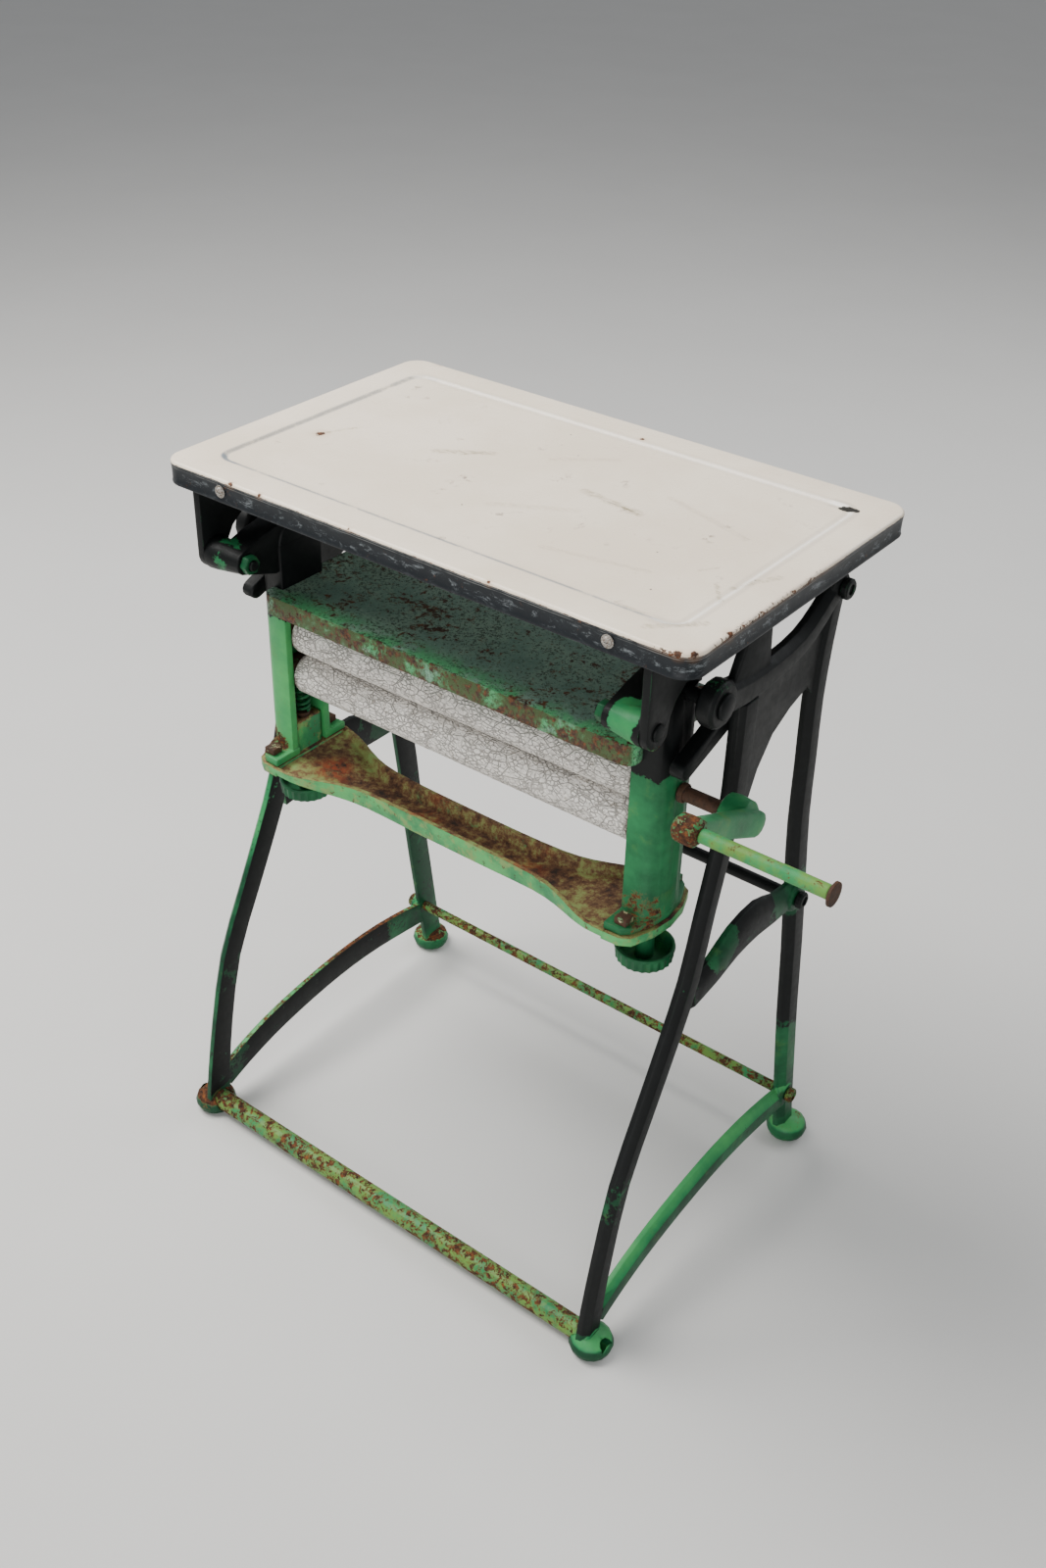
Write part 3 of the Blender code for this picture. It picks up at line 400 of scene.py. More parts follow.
def painted_iron(
    name, black=0.0, rust=0.3, light=0.3, spots=(), areas=None, mottle=0.0, tops=0.0, yellow=0.0
):
    """Cast iron under green paint, under black paint where black is high.

    black and rust are levels that a wear pattern is compared with: about 0.3 leaves a few specks, 0.5 half
    of the surface and 0.75 all but the edges. light runs from deep green at 0 to pale green at 1. areas is a
    function of the graph that returns the black level, in place of a number. tops adds rust on what faces up
    near the floor. mottle adds dark specks, and yellow makes more of the green olive.
    """
    g = Graph(name)
    edge = g.edge(0.0016)
    middle = g.noise(55, 7, 0.68, 0.4)
    broad = g.noise(14, 3, 0.5)
    wear = g.sum((middle, 0.62), (g.noise(300, 4, 0.65), 0.24), (broad, 0.14), (edge, 0.20))
    levels = paint_levels(g, areas(g) if areas else black, rust, light, spots, tops)
    whole = g.math("SUBTRACT", levels["black"], wear)
    black_mask = g.band(whole, -0.004, 0.006)
    lip = g.times(g.band(whole, -0.020, -0.004), 0.55)
    rusting = g.sum(
        (g.noise(110, 8, 0.74, 0.6), 0.70), (g.noise(480, 3, 0.6), 0.18), (broad, 0.12), (edge, -0.10),
    )
    over = g.math("SUBTRACT", levels["rust"], rusting)
    rust_mask = g.band(over, -0.005, 0.010)
    tint = green_tint(g, levels["light"], mottle, yellow)
    tint = g.mix(g.times(g.band(over, -0.055, 0.0), 0.60), tint, PAINT_STAIN)
    tint = g.mix(lip, tint, PAINT_LIP)
    dark = g.mix(g.band(g.noise(75, 7, 0.72), 0.46, 0.80), BLACK, BLACK_DUSTY)
    colour = g.mix(rust_mask, g.mix(black_mask, tint, dark), rust_colour(g))
    rough = g.sum((rust_mask, 0.45), (g.noise(120, 4), 0.24), (black_mask, 0.06), (1.0, 0.32))
    height = g.sum((black_mask, 0.22), (rust_mask, -0.30), (g.noise(700, 3, 0.6), 0.14), (middle, 0.35))
    return g.finish(colour, rough, height, 0.0009, strength=0.7, specular=0.20)


def rusty_iron(name, green=0.0, second=GREEN_YELLOW):
    """Bare iron with layered rust, and some paint left on it: green, and patches of a second colour."""
    g = Graph(name)
    edge = g.edge(0.0012)
    patches = g.sum((g.noise(150, 7, 0.74, 0.5), 0.75), (g.noise(30, 3), 0.25), (edge, 0.10))
    colour = g.ramp(patches, (0.36, RUST_DARK), (0.49, RUST_BROWN), (0.60, RUST), (0.76, RUST_ORANGE))
    paint = g.mix(g.band(g.noise(40, 4), 0.45, 0.6), GREEN, second)
    flaking = g.sum((g.noise(95, 7, 0.74), 0.8), (edge, 0.25))
    kept = g.band(g.math("SUBTRACT", green, flaking), -0.008, 0.010)
    colour = g.mix(kept, colour, paint)
    height = g.sum((g.noise(420, 5, 0.7), 0.5), (patches, 0.4), (kept, 0.2))
    rough = g.sum((g.noise(200, 3), 0.25), (kept, -0.25), (1.0, 0.62))
    return g.finish(colour, rough, height, 0.0008, metallic=0.10, strength=0.8, specular=0.35)


def tray_paint(name):
    """Thin grey-green paint over iron, with black speckle, rust freckles and a rusty front lip."""
    g = Graph(name)
    g.edge(0.0012)
    front = g.below(g.y, -0.140, -0.105)
    wash = g.noise(16, 5, 0.62)
    base = g.mix(g.band(wash, 0.34, 0.66), TRAY_WASH, TRAY_WASH_PALE)
    base = g.mix(g.times(front, g.band(g.noise(26, 5, 0.66), 0.38, 0.55)), base, TRAY_FRONT)
    speckle = g.band(g.sum((g.noise(330, 6, 0.78), 0.8), (wash, 0.2)), 0.515, 0.560)
    base = g.mix(g.times(speckle, 0.80), base, TRAY_SPECK)
    base = g.mix(g.times(g.band(g.noise(420, 4, 0.7), 0.60, 0.66), 0.50), base, TRAY_FLECK)
    freckle = g.sum((g.noise(120, 7, 0.72, 0.4), 0.8), (g.noise(20, 3), 0.35))
    rust_mask = g.band(freckle, 0.650, 0.675)
    lip = g.times(g.below(g.y, -0.1405, -0.1380), g.band(g.noise(80, 8, 0.76), 0.515, 0.545))
    front_face = g.below(g.back, -0.75, -0.45)
    base = g.mix(g.times(front_face, g.band(g.noise(40, 7, 0.72), 0.34, 0.50)), base, TRAY_LIP)
    base = g.mix(g.times(g.band(freckle, 0.615, 0.665), 0.6), base, TRAY_STAIN)
    colour = g.mix(g.math("MAXIMUM", rust_mask, lip), base, rust_colour(g))
    height = g.sum((speckle, 0.3), (rust_mask, -0.4), (g.noise(500, 4), 0.3))
    rough = g.sum((speckle, 0.2), (rust_mask, 0.2), (1.0, 0.5))
    return g.finish(colour, rough, height, 0.0008, strength=0.7, specular=0.35)


def bar_paint(name):
    """The lower bar: pale green on its lip, and brown rust with orange spots along its hollow."""
    g = Graph(name)
    edge = g.edge(0.0016)
    hollow = g.band(g.sum((g.up, 1.0), (g.noise(90, 6, 0.7), 0.5)), 0.50, 0.62)
    green = g.mix(g.band(g.noise(20, 5, 0.62), 0.36, 0.62), GREEN, GREEN_PALE)
    green = g.mix(g.times(g.band(g.noise(50, 6, 0.7), 0.50, 0.60), 0.7), green, BAR_OLIVE)
    centre = g.below(g.math("ABSOLUTE", g.math("ADD", g.y, 0.097)), 0.004, 0.030)
    layers = g.sum((g.noise(95, 9, 0.80), 0.80), (g.noise(24, 5, 0.7), 0.30), (centre, -0.085))
    brown = g.ramp(layers, *BAR_HOLLOW)
    for x in (-0.170, -0.045, 0.090):
        glow = g.times(g.near((x, -0.105, 0.480), 0.004, 0.034), g.band(g.noise(120, 6, 0.7), 0.42, 0.56))
        brown = g.mix(g.times(glow, 0.95), brown, BAR_ORANGE)
    freckles = g.band(g.sum((g.noise(130, 7, 0.76), 0.8), (edge, 0.10)), 0.480, 0.500)
    green = g.mix(freckles, green, rust_colour(g))
    colour = g.mix(hollow, green, brown)
    height = g.sum((g.noise(160, 6, 0.7), 0.7), (hollow, -0.3), (freckles, -0.2))
    rough = g.sum((hollow, 0.25), (g.noise(90, 4), 0.2), (1.0, 0.40))
    return g.finish(colour, rough, height, 0.0009, strength=0.8, specular=0.4)


def enamel_field(g):
    """Cream glaze with faint clouds, fine dirt and scratches that run several ways, and specks."""
    cream = g.mix(g.band(g.noise(7, 5, 0.6), 0.35, 0.68), CREAM, CREAM_SHADE)
    for stretch, scale, share in (((1, 9, 1), 26, 0.20), ((7, 1.4, 1), 22, 0.14), ((2.0, 0.5, 1), 60, 0.10)):
        lines = g.band(g.noise(scale, 9, 0.76, 0.3, stretch), 0.640, 0.700)
        cream = g.mix(g.times(lines, share), cream, CREAM_DIRT)
    specks = g.below(g.cells(30), 0.018, 0.038)
    return g.mix(g.times(specks, g.band(g.noise(7, 2), 0.50, 0.54)), cream, CREAM_SPECK)


def enamel_step(g, cream):
    """Patchy painted shade along the pressed step, most at the left and the front, and a painted highlight
    band at its right and back with a painted shade line just outside it.
    """
    past = []
    for value, half in ((g.x, TOP_HALF.x), (g.y, TOP_HALF.y)):
        straight = half - STEP_INSET - STEP_RADIUS
        beyond = g.math("MAXIMUM", g.math("SUBTRACT", g.math("ABSOLUTE", value), straight), 0.0)
        past.append((g.times(beyond, beyond), 1.0))
    away = g.math("ABSOLUTE", g.math("SUBTRACT", g.math("SQRT", g.sum(*past)), STEP_RADIUS))
    step = g.below(away, 0.0012, 0.0044)
    weight = g.sum((g.below(g.x, -0.245, -0.235), 0.40), (g.below(g.y, -0.142, -0.136), 0.78), (1.0, 0.14))
    # Patchy painted shade on the step's slopes, strongest along the left and the front sides.
    slope_shade = g.times(step, weight, g.band(g.noise(45, 5, 0.7), 0.25, 0.55))
    cream = g.mix(slope_shade, cream, STEP_SLOPE_SHADE)
    # Painted highlight on the step at the right and the back, and a painted shade line just outside it.
    lit = g.sum((g.band(g.x, 0.235, 0.245), 0.75), (g.band(g.y, 0.136, 0.142), 0.35))
    cream = g.mix(g.times(step, lit), cream, STEP_HIGHLIGHT)
    beside = g.times(g.below(away, 0.0062, 0.0090), g.math("SUBTRACT", 1.0, step))
    return g.mix(g.times(beside, lit, 0.30), cream, STEP_SHADE)


def enamel_marks(g, cream):
    """Ragged olive stains and broken dark scratches."""
    ragged = g.noise(170, 10, 0.88, 0.2, (0.5, 2.0, 1))
    for start, end, width, share in STAINS:
        stain = g.band(g.sum((g.stroke(start, end, width), 0.50), (ragged, 1.8)), 1.26, 1.56)
        cream = g.mix(g.times(stain, share), cream, OLIVE)
    broken = g.band(g.noise(240, 5, 0.75), 0.38, 0.55)
    for start, end, width, share in SCRATCHES:
        cream = g.mix(g.times(g.stroke(start, end, width), broken, share), cream, SCRATCH)
    return cream


def enamel_chips(g):
    """Where the glaze has chipped off, and where rust has bled round the chips."""
    ragged = g.noise(240, 8, 0.76, 0.6)
    right = g.band(g.x, TOP_HALF.x - 0.0068, TOP_HALF.x - 0.0004)
    side = g.times(g.band(g.y, -0.175, -0.150), g.below(g.y, 0.020, 0.075), right)
    corner = g.times(g.below(g.y, 0.0004 - TOP_HALF.y, 0.0062 - TOP_HALF.y), g.band(g.x, 0.245, 0.280))
    worn = g.times(g.math("MAXIMUM", side, corner), g.band(g.z, TOP - 0.0080, TOP - 0.0030))
    chips = g.band(g.sum((worn, 0.50), (ragged, 2.0), (g.noise(45, 3), 0.7)), 1.87, 1.95)
    bleed = g.times(worn, 0.6)
    for (x, y), radius in CHIPS:
        place = (x, y, TOP)
        chip = g.band(g.sum((g.near(place, 0.0, radius), 1.0), (ragged, 2.2)), 1.66, 1.74)
        chips = g.math("MAXIMUM", chips, chip)
        bleed = g.math("MAXIMUM", bleed, g.near(place, radius * 0.2, radius * 1.4))
    return chips, bleed


def enamel_rim(g, height):
    """Dark rim with pale scuffs, two painted highlight lines where it rounds over, and rust spots."""
    clouds = g.noise(34, 7, 0.74, 0.5, (1, 1, 2.4))
    rim = g.mix(g.band(clouds, 0.46, 0.78), RIM_BLUE, RIM_DUSTY)
    scuffs = g.band(g.noise(60, 10, 0.84, 0.4, (1, 1, 2.4)), 0.530, 0.600)
    middle = g.times(g.band(g.z, TOP - 0.0215, TOP - 0.0160), g.below(g.z, TOP - 0.0130, TOP - 0.0070))
    rim = g.mix(g.times(scuffs, g.math("MULTIPLY_ADD", middle, 0.62, 0.12)), rim, RIM_WORN)
    broken = g.band(g.noise(40, 5, 0.7), 0.36, 0.56)
    # Two thin painted highlight lines along the rim's rounded top edge.
    for depth, share in ((0.0066, 0.34), (0.0044, 0.50)):
        low = TOP - depth
        line = g.times(g.band(height, low, low + 0.0005), g.below(height, low + 0.0006, low + 0.0011))
        rim = g.mix(g.times(line, share, broken), rim, RIM_HIGHLIGHT)
    spots = g.times(g.band(g.noise(90, 8, 0.76), 0.635, 0.660), 0.8)
    return g.mix(spots, rim, rust_colour(g))


def enamel(name):
    """Cream vitreous enamel, with a dark rim, stains, scratches and rust where it has chipped off."""
    g = Graph(name)
    height = g.math("ADD", g.z, g.times(g.math("SUBTRACT", g.noise(28, 3), 0.5), 0.0022))
    rim = g.below(height, TOP - 0.0032, TOP - 0.0025)
    cream = enamel_marks(g, enamel_step(g, enamel_field(g)))
    colour = g.mix(rim, cream, enamel_rim(g, height))
    chips, bleed = enamel_chips(g)
    colour = g.mix(g.times(bleed, 0.24), colour, RUST_BLEED)
    bare = g.times(g.band(height, TOP - 0.0036, TOP - 0.0030), g.below(height, TOP - 0.0027, TOP - 0.0022))
    bare = g.times(bare, g.band(g.noise(80, 7, 0.78), 0.52, 0.57))
    chips = g.math("MAXIMUM", chips, bare)
    colour = g.mix(chips, colour, rust_colour(g))
    mark = g.band(g.sum((g.stroke(*BLACK_MARK), 1.0), (g.noise(190, 7, 0.76, 1.0), 1.2)), 1.28, 1.36)
    colour = g.mix(mark, colour, BLACK_STAIN)
    rough = g.sum((g.noise(40, 5, 0.6), 0.20), (rim, 0.16), (chips, 0.40), (1.0, 0.18))
    relief = g.sum((chips, -0.5), (g.noise(60, 2), 0.25), (g.times(rim, g.noise(260, 5)), 0.30))
    return g.finish(colour, rough, relief, 0.0006, strength=0.6, specular=0.30)


def roller_skin(name):
    """Old roller covering, pale and coarsely cracked, and dirty at its ends."""
    g = Graph(name)
    fine = g.below(g.cells(250, "DISTANCE_TO_EDGE", (0.7, 1, 1)), 0.01, 0.13)
    coarse = g.below(g.cells(70, "DISTANCE_TO_EDGE", (0.6, 1, 1)), 0.0, 0.030)
    pebbles = g.cells(330, "F1", (0.8, 1, 1))
    open_cracks = g.math("MULTIPLY_ADD", g.band(g.noise(60, 6, 0.70), 0.40, 0.56), 0.75, 0.25)
    cracks = g.math("MAXIMUM", g.times(fine, open_cracks), coarse)
    grain = g.noise(560, 7, 0.78, 0.5)
    base = g.mix(g.band(g.noise(24, 5, 0.66, 0.0, (0.3, 1, 1)), 0.35, 0.68), ROLLER, ROLLER_SHADE)
    base = g.mix(g.band(grain, 0.38, 0.58), ROLLER_GRAIN, base)
    base = g.mix(g.times(g.band(g.noise(110, 6, 0.74), 0.600, 0.640), 0.5), base, ROLLER_SPOT)
    colour = g.mix(g.times(g.band(pebbles, 0.45, 0.85), 0.30), base, ROLLER_DUST)
    colour = g.mix(g.times(cracks, 0.48), colour, ROLLER_CRACK)
    end = g.below(g.math("SUBTRACT", 0.2126, g.math("ABSOLUTE", g.x)), 0.0, 0.009)
    colour = g.mix(g.times(end, g.band(g.noise(90, 5), 0.35, 0.6)), colour, ROLLER_END)
    height = g.sum((grain, 0.6), (pebbles, -0.7), (cracks, -1.2), (g.noise(110, 3), 0.35))
    return g.finish(colour, 0.88, height, 0.0014, specular=0.3)


def worn_steel(name):
    g = Graph(name)
    edge = g.edge(0.0008)
    spots = g.band(g.noise(600, 5, 0.7), 0.46, 0.62)
    colour = g.mix(edge, g.mix(spots, STEEL, STEEL_RUST), STEEL_EDGE)
    rough = g.sum((spots, 0.3), (1.0, 0.42))
    return g.finish(colour, rough, g.noise(900, 4, 0.7), 0.0004, metallic=0.55, strength=0.5)


# Meshes


def new_piece(name, bm, body, replaced, look, smooth):
    """Makes a piece of a mesh that is shaded smooth, except at edges sharper than smooth degrees."""
    bmesh.ops.recalc_face_normals(bm, faces=bm.faces)
    mesh = bpy.data.meshes.new(name)
    bm.to_mesh(mesh)
    bm.free()
    mesh.shade_smooth()
    mesh.set_sharp_from_angle(angle=math.radians(smooth))
    piece = bpy.data.objects.new(name, mesh)
    bpy.context.scene.collection.objects.link(piece)
    mesh.materials.append(look)
    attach(piece, body)
    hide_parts(replaced)
    return piece


def bridge(bm, low, high):
    """A band of quads between two rings of vertices."""
    for i in range(len(low)):
        j = (i + 1) % len(low)
        bm.faces.new((low[i], low[j], high[j], high[i]))


def skin(bm, rings, closed=False):
    """Joins rings of points with quads and returns the rings' vertices."""
    made = [[bm.verts.new(p) for p in ring] for ring in rings]
    for low, high in zip(made, made[1:]):
        bridge(bm, low, high)
    if closed:
        bridge(bm, made[-1], made[0])
    return made


def pan_ring(inset, z):
    """One loop round the pan, inset from its outside, with points along the sides too."""
    radius = max(CORNER - inset, LEAST_CORNER) if inset < STEP_INSET - 0.008 else STEP_RADIUS
    x, y = TOP_HALF.x - inset - radius, TOP_HALF.y - inset - radius
    arcs = []
    for cx, cy, start in ((x, y, 0), (-x, y, 90), (-x, -y, 180), (x, -y, 270)):
        arc = []
        for i in range(CORNER_STEPS + 1):
            turn = math.radians(start + 90 * i / CORNER_STEPS)
            arc.append(Vector((cx + radius * math.cos(turn), cy + radius * math.sin(turn), z)))
        arcs.append(arc)
    ring = []
    for arc, after in zip(arcs, arcs[1:] + arcs[:1]):
        ring += arc
        ring += [arc[-1].lerp(after[0], i / SIDE_STEPS) for i in range(1, SIDE_STEPS)]
    return [ORIGIN + point for point in ring]


def build_pan(look):
    """Pressed enamel pan: a rounded edge, a turned-down rim with a rolled lower bead, and a shallow step."""
    foot = TOP - RIM_DEPTH
    over = [(0.0006, foot + 0.0010), (0.0002, foot + 0.0022), (0.0008, foot + 0.0040)]
    over += [(0.0008, TOP - 0.012), (0.0004, TOP - 0.0060)]
    for i in range(PROFILE_STEPS + 1):
        turn = math.radians(90 * i / PROFILE_STEPS)
        over.append((EDGE_ROLL * (1 - math.cos(turn)), TOP - EDGE_ROLL * (1 - math.sin(turn))))
    over.append((0.018, TOP))
    for i in range(PROFILE_STEPS + 1):
        share = i / PROFILE_STEPS
        drop = STEP_DROP * (1 - math.cos(math.pi * share)) / 2
        over.append((STEP_INSET - STEP_WIDTH / 2 + STEP_WIDTH * share, TOP - drop))
    over.append((STEP_INSET + 0.012, TOP - STEP_DROP))
    under = []
    for inset, z in reversed(over):
        if inset > 0.003:
            z -= SHEET
        if inset < 0.01:
            inset += SHEET
        if inset > 0.018 or z < TOP - 0.0055:
            under.append((inset, z))
    bm = bmesh.new()
    outer = skin(bm, [pan_ring(inset, z) for inset, z in over])
    bm.faces.new(outer[-1])
    inner = skin(bm, [pan_ring(inset, z) for inset, z in under])
    bm.faces.new(list(reversed(inner[0])))
    bridge(bm, outer[0], inner[-1])
    new_piece("enamel_top", bm, "table", "enamel_table_top", look, 50)


def roller_lump(point, seed):
    """How far a point of the covering stands out of round."""
    spot = Vector((point.x * 0.6, point.y, point.z)) + Vector((seed, 0, 0))
    return 0.00022 * noise.noise(spot * 190) + 0.00018 * noise.noise(spot * 60) - 0.0002


def build_roller(name, node, body, look, seed):
    """Roller covering with the slight lumps of old rubber."""
    low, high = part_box(node)
    centre = (low + high) / 2
    radius = (high.z - low.z) / 2
    half = (high.x - low.x) / 2
    profile = [(ROLLER_BORE, -half), (radius - 0.0030, -half), (radius - 0.0008, -half + 0.0006)]
    for i in range(ROLLER_STEPS + 1):
        profile.append((radius - 0.0003, -half + 0.0022 + (2 * half - 0.0044) * i / ROLLER_STEPS))
    profile += [(radius - 0.0008, half - 0.0006), (radius - 0.0030, half), (ROLLER_BORE, half)]
    rings = []
    for r, x in profile:
        ring = []
        for i in range(ROLLER_SIDES):
            turn = 2 * math.pi * i / ROLLER_SIDES
            along, out = Vector((x, 0, 0)), Vector((0, math.cos(turn), math.sin(turn)))
            lump = roller_lump(along + out * r, seed) if r > ROLLER_BORE else 0.0
            ring.append(centre + along + out * (r + lump))
        rings.append(ring)
    bm = bmesh.new()
    skin(bm, rings, closed=True)
    new_piece(name, bm, body, node, look, 60)


def build_spring(name, node, look):
    """Round-wire compression spring with closed ends."""
    low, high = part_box(node)
    centre = (low + high) / 2
    rings = []
    for i in range(SPRING_STEPS + 1):
        share = i / SPRING_STEPS
        turn = 2 * math.pi * SPRING_TURNS * share
        rise = share - SPRING_CLOSED * math.sin(2 * math.pi * share)
        out = Vector((math.cos(turn), math.sin(turn), 0))
        height = low.z + SPRING_WIRE + (high.z - low.z - 2 * SPRING_WIRE) * min(max(rise, 0), 1)
        middle = Vector((centre.x, centre.y, height)) + out * SPRING_RADIUS
        ring = []
        for k in range(SPRING_SIDES):
            spin = 2 * math.pi * k / SPRING_SIDES
            across = Vector((0, 0, SPRING_WIRE * math.sin(spin)))
            ring.append(middle + out * (SPRING_WIRE * math.cos(spin)) + across)
        rings.append(ring)
    bm = bmesh.new()
    made = skin(bm, rings)
    bm.faces.new(list(reversed(made[0])))
    bm.faces.new(made[-1])
    piece = new_piece(name, bm, "wringer", node, look, 60)
    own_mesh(piece)


def soften(node, width):
    """Rounds a CAD node's sharp edges with modifiers, so that they catch the light."""
    piece = NODES[node]
    weld = piece.modifiers.new("weld", "WELD")
    weld.merge_threshold = 0.00002
    bevel = piece.modifiers.new("bevel", "BEVEL")
    bevel.width = width
    bevel.segments = EDGE_SEGMENTS
    bevel.limit_method = "ANGLE"
    bevel.angle_limit = SHARP


def shade(name, piece):
    piece.data.shade_smooth()
    piece.data.set_sharp_from_angle(angle=WHEEL_SHARP if name.endswith("hand_wheel") else SHARP)


def dress(nodes, look):
    for node in nodes:
        materials = NODES[node].data.materials
        materials.clear()
        materials.append(look)


def pair(*names):
    """The left and the right node of each name."""
    return [side + "_" + name for name in names for side in ("left", "right")]


# Stage


def build_stage():
    bm = bmesh.new()
    bmesh.ops.create_grid(bm, x_segments=1, y_segments=1, size=FLOOR_HALF)
    mesh = bpy.data.meshes.new("floor")
    bm.to_mesh(mesh)
    bm.free()
    floor = bpy.data.objects.new("floor", mesh)
    bpy.context.scene.collection.objects.link(floor)
    g = Graph("floor")
    tone = g.mix(g.noise(3, 3), FLOOR, FLOOR_PALE)
    mesh.materials.append(g.finish(tone, 0.9, g.noise(200, 3), 0.0004, strength=0.2))


def area_light(name, place, size, power, colour):
    lamp = bpy.data.lights.new(name, "AREA")
    lamp.shape = "RECTANGLE"
    lamp.size, lamp.size_y = size
    lamp.energy = power
    lamp.color = colour
    obj = bpy.data.objects.new(name, lamp)
    obj.location = at(*place)
    obj.rotation_euler = (at(0, 0, 0.5) - obj.location).to_track_quat("-Z", "Y").to_euler()
    bpy.context.scene.collection.objects.link(obj)


def build_lights():
    world = bpy.data.worlds.new("studio")
    world.use_nodes = True
    background = world.node_tree.nodes["Background"].inputs
    background["Color"].default_value = SKY
    background["Strength"].default_value = SKY_STRENGTH
    bpy.context.scene.world = world
    area_light("key", (-1.5, -0.5, 3.0), (2.0, 2.0), 165, WARM)
    area_light("fill", (1.2, -2.7, 1.05), (2.4, 1.6), 52, NEUTRAL)
    area_light("back", (0.9, 2.6, 2.3), (2.4, 1.6), 42, COOL)


def build_camera():
    az, el = CAMERA_AZIMUTH, CAMERA_ELEVATION
    back = Vector((math.sin(az) * math.cos(el), -math.cos(az) * math.cos(el), math.sin(el)))
    right = Vector((0, 0, 1)).cross(back).normalized()
    turned = Matrix((right, back.cross(right), back)).transposed().to_4x4()
    camera = bpy.data.objects.new("camera", bpy.data.cameras.new("camera"))
    camera.data.lens = FOCAL_MM
    camera.data.sensor_width = SENSOR_MM
    place = Matrix.Translation(ORIGIN + CAMERA_PLACE)
    camera.matrix_world = place @ turned @ Matrix.Rotation(CAMERA_ROLL, 4, "Z")
    bpy.context.scene.collection.objects.link(camera)
    bpy.context.scene.camera = camera


# Where each look goes


def frame_black(side):
    """The black level of an end frame: high where its black paint is whole, low where green shows."""
    green = FRAME_GREEN[side]

    def level(g):
        front_leg = g.math("SUBTRACT", g.y, g.math("MULTIPLY_ADD", g.z, 0.34, -0.243))
        height = g.math("ADD", g.z, g.times(g.noise(30, 3), 0.05))
        rail = g.times(g.band(front_leg, 0.012, 0.022), g.below(height, 0.155, 0.175))
        rear = g.times(g.band(g.y, 0.07, 0.09), g.below(g.z, 0.17, green["rear_top"]))
        foot = g.below(g.z, 0.022, 0.034)
        brace = g.times(g.band(g.z, 0.365, 0.38), g.below(g.z, 0.425, 0.44))
        front = g.times(g.below(g.back, -0.70, -0.45), g.below(g.z, 0.40, 0.43), green["front"])
        return g.sum(
            (rail, -green["rail"]), (rear, -green["rear"]), (foot, -0.45), (brace, -0.13),
            (front, -1.0), (1.0, 0.72),
        )

    return level


def frame_spots(side):
    """Worn spots of an end frame. The left one has more of them, and more rust."""
    x = FRAME_X if side == "right" else -FRAME_X
    spots = [
        ("black", (x, 0.095, 0.405), 0.050, -0.30),
        ("black", (x, -0.035, 0.42), 0.035, -0.24),
        ("black", (x, -0.098, 0.735), 0.026, -0.14),
        ("rust", (x, 0.17, 0.01), 0.05, 0.10),
        ("light", (x, 0.17, 0.01), 0.05, 0.10),
        ("black", (x, -0.185, 0.190), 0.050, -0.20),
        ("light", (x, -0.227, 0.01), 0.05, -0.10),
    ]
    if side == "left":
        spots += [
            ("black", (x, -0.215, 0.06), 0.060, -0.14),
            ("rust", (x, -0.226, 0.01), 0.045, 0.16),
            ("rust", (x, 0.05, 0.100), 0.090, 0.12),
            ("light", (x, 0.12, 0.30), 0.24, -0.20),
            ("light", (x, -0.118, 0.37), 0.070, 0.40),
        ]
    return spots


def post_black(g):
    """The posts' tops are black, with a ragged lower edge, and so is the left boss's flange."""
    ragged = g.math("MULTIPLY_ADD", g.noise(60, 7, 0.74), 0.030, g.z)
    flange = g.times(g.band(g.x, -0.214, -0.209), g.below(g.x, -0.200, -0.196))
    return g.sum((g.band(ragged, 0.652, 0.658), 0.74), (flange, 0.30), (1.0, 0.15))


def dress_stand():
    for side, tops, mottle in (("left", 0.20, 0.44), ("right", 0.05, 0.36)):
        wear = {"spots": frame_spots(side), "areas": frame_black(side), "tops": tops, "mottle": mottle}
        dress([side + "_end_frame"], painted_iron(side + "_frame_paint", rust=0.265, light=0.05, **wear))
    black = painted_iron("black_paint", black=0.70, rust=0.275)
    dress(pair("stop_arm", "swing_pin", "middle_nut", "top_rear_nut", "carry_bolt"), black)
    dress(["middle_rod", "top_rear_rod"], black)
    tube = painted_iron("tube_paint", rust=0.490, light=0.44, mottle=0.36, yellow=0.55)
    dress(["front_bottom_tube", "rear_bottom_rod"] + pair("rear_bottom_nut"), tube)


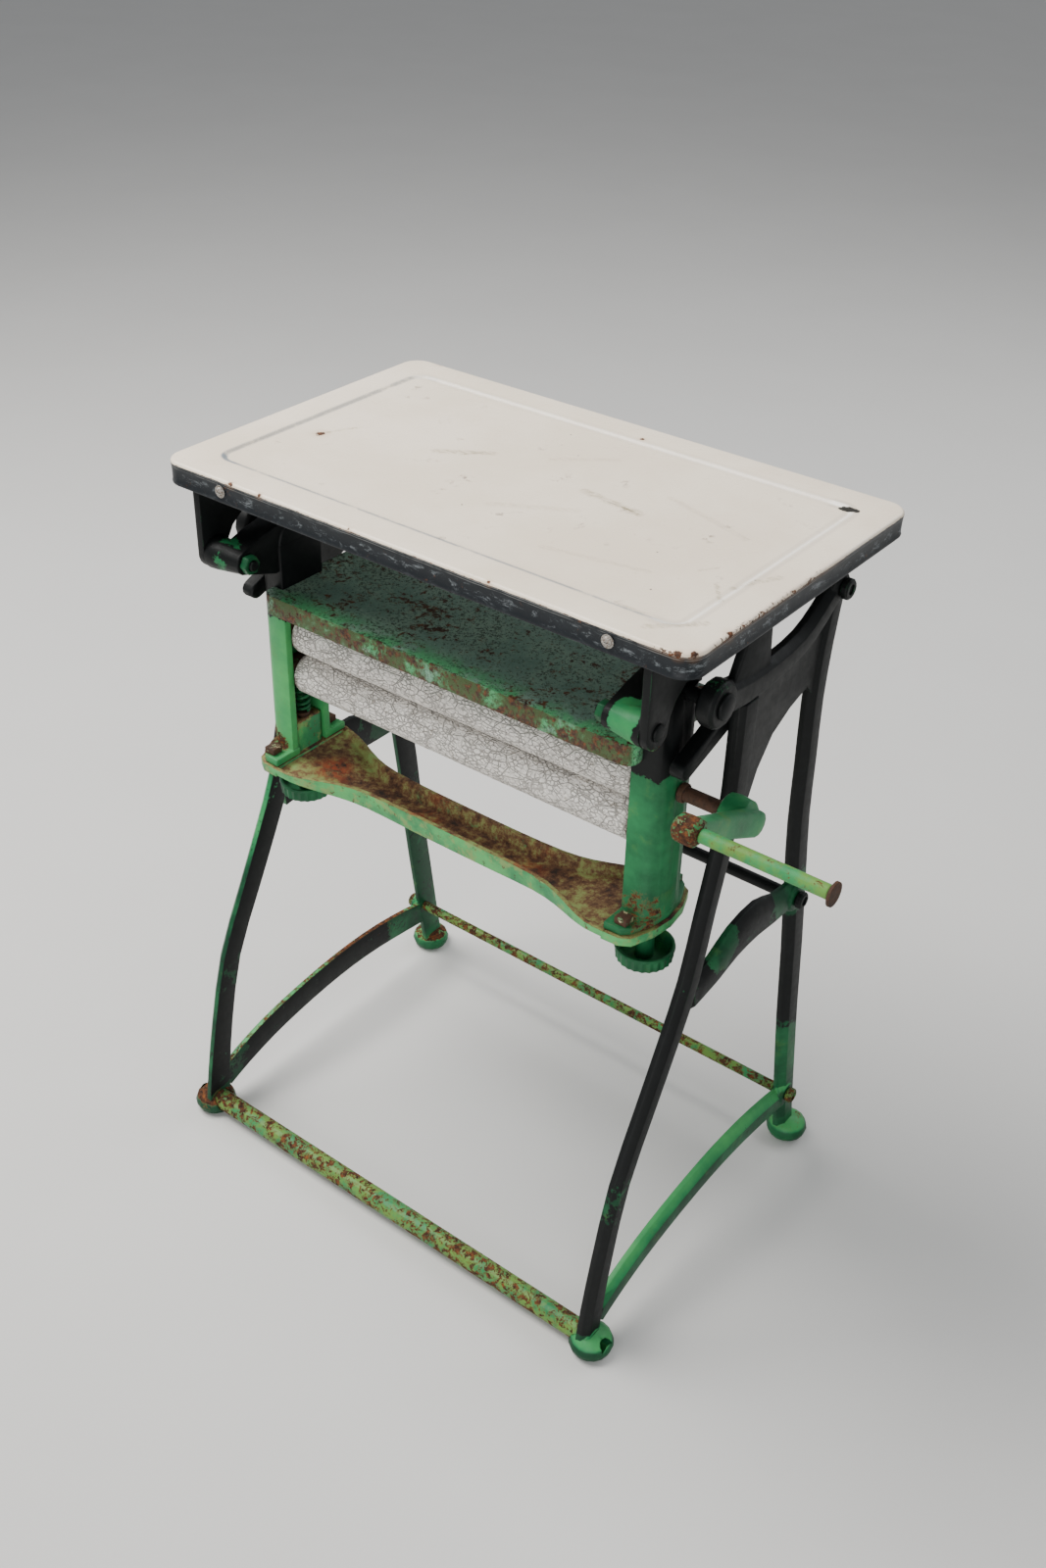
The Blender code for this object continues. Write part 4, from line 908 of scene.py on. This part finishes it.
def dress_table():
    dress(pair("table_bracket"), painted_iron("bracket_paint", black=0.73, rust=0.255, spots=BRACKET_SPOTS))
    dress(pair("rim_screw"), worn_steel("screw_steel"))


def dress_wringer():
    post = painted_iron("post_paint", rust=0.285, light=0.24, spots=POST_SPOTS, areas=post_black)
    dress(pair("post"), post)
    dress(["water_tray"], tray_paint("tray_paint"))
    dress(["cross_bar"], bar_paint("bar_paint"))
    arm = painted_iron("arm_paint", rust=0.325, light=0.42, spots=ARM_SPOTS, yellow=0.15)
    dress(["crank_arm"], arm)
    dress(["handle_grip"], painted_iron("grip_paint", rust=0.415, light=0.55, yellow=0.50))
    dress(["crank_pin", "shaft_collar"], rusty_iron("pin_rust", green=0.30))
    dress(["driven_shaft", "sprung_shaft"], rusty_iron("shaft_rust"))
    inner = rusty_iron("inner_rust", green=0.30)
    dress(pair("driven_bearing", "sprung_bearing", "spring_seat", "hand_screw"), inner)
    bolt = rusty_iron("bolt_rust", green=0.34, second=OLD_CREAM)
    dress(pair("front_post_bolt", "rear_post_bolt"), bolt)
    wheel = painted_iron("wheel_paint", black=0.20, rust=0.26, light=0.12, mottle=0.36)
    dress(pair("hand_wheel", "carry_nut"), wheel)
    for side in ("left", "right"):
        build_spring(side + "_spring", side + "_pressure_spring", wheel)


# How wide each cast or forged node's edges are rounded
ROUNDED = {
    0.0014: pair("end_frame", "post", "table_bracket", "stop_arm") + ["cross_bar"],
    0.0010: pair("driven_bearing", "sprung_bearing") + ["water_tray", "crank_arm"],
    0.0005: pair("front_post_bolt", "rear_post_bolt", "carry_nut", "carry_bolt", "swing_pin"),
}

build_camera()
build_stage()
build_lights()
build_pan(enamel("enamel"))
build_roller("driven_cover", "driven_rubber", "crank", roller_skin("driven_skin"), 3.1)
build_roller("sprung_cover", "sprung_rubber", "sprung_roller", roller_skin("sprung_skin"), 8.7)
dress_stand()
dress_table()
dress_wringer()
for width, names in ROUNDED.items():
    for name in names:
        soften(name, width)
for name, piece in NODES.items():
    shade(name, piece)
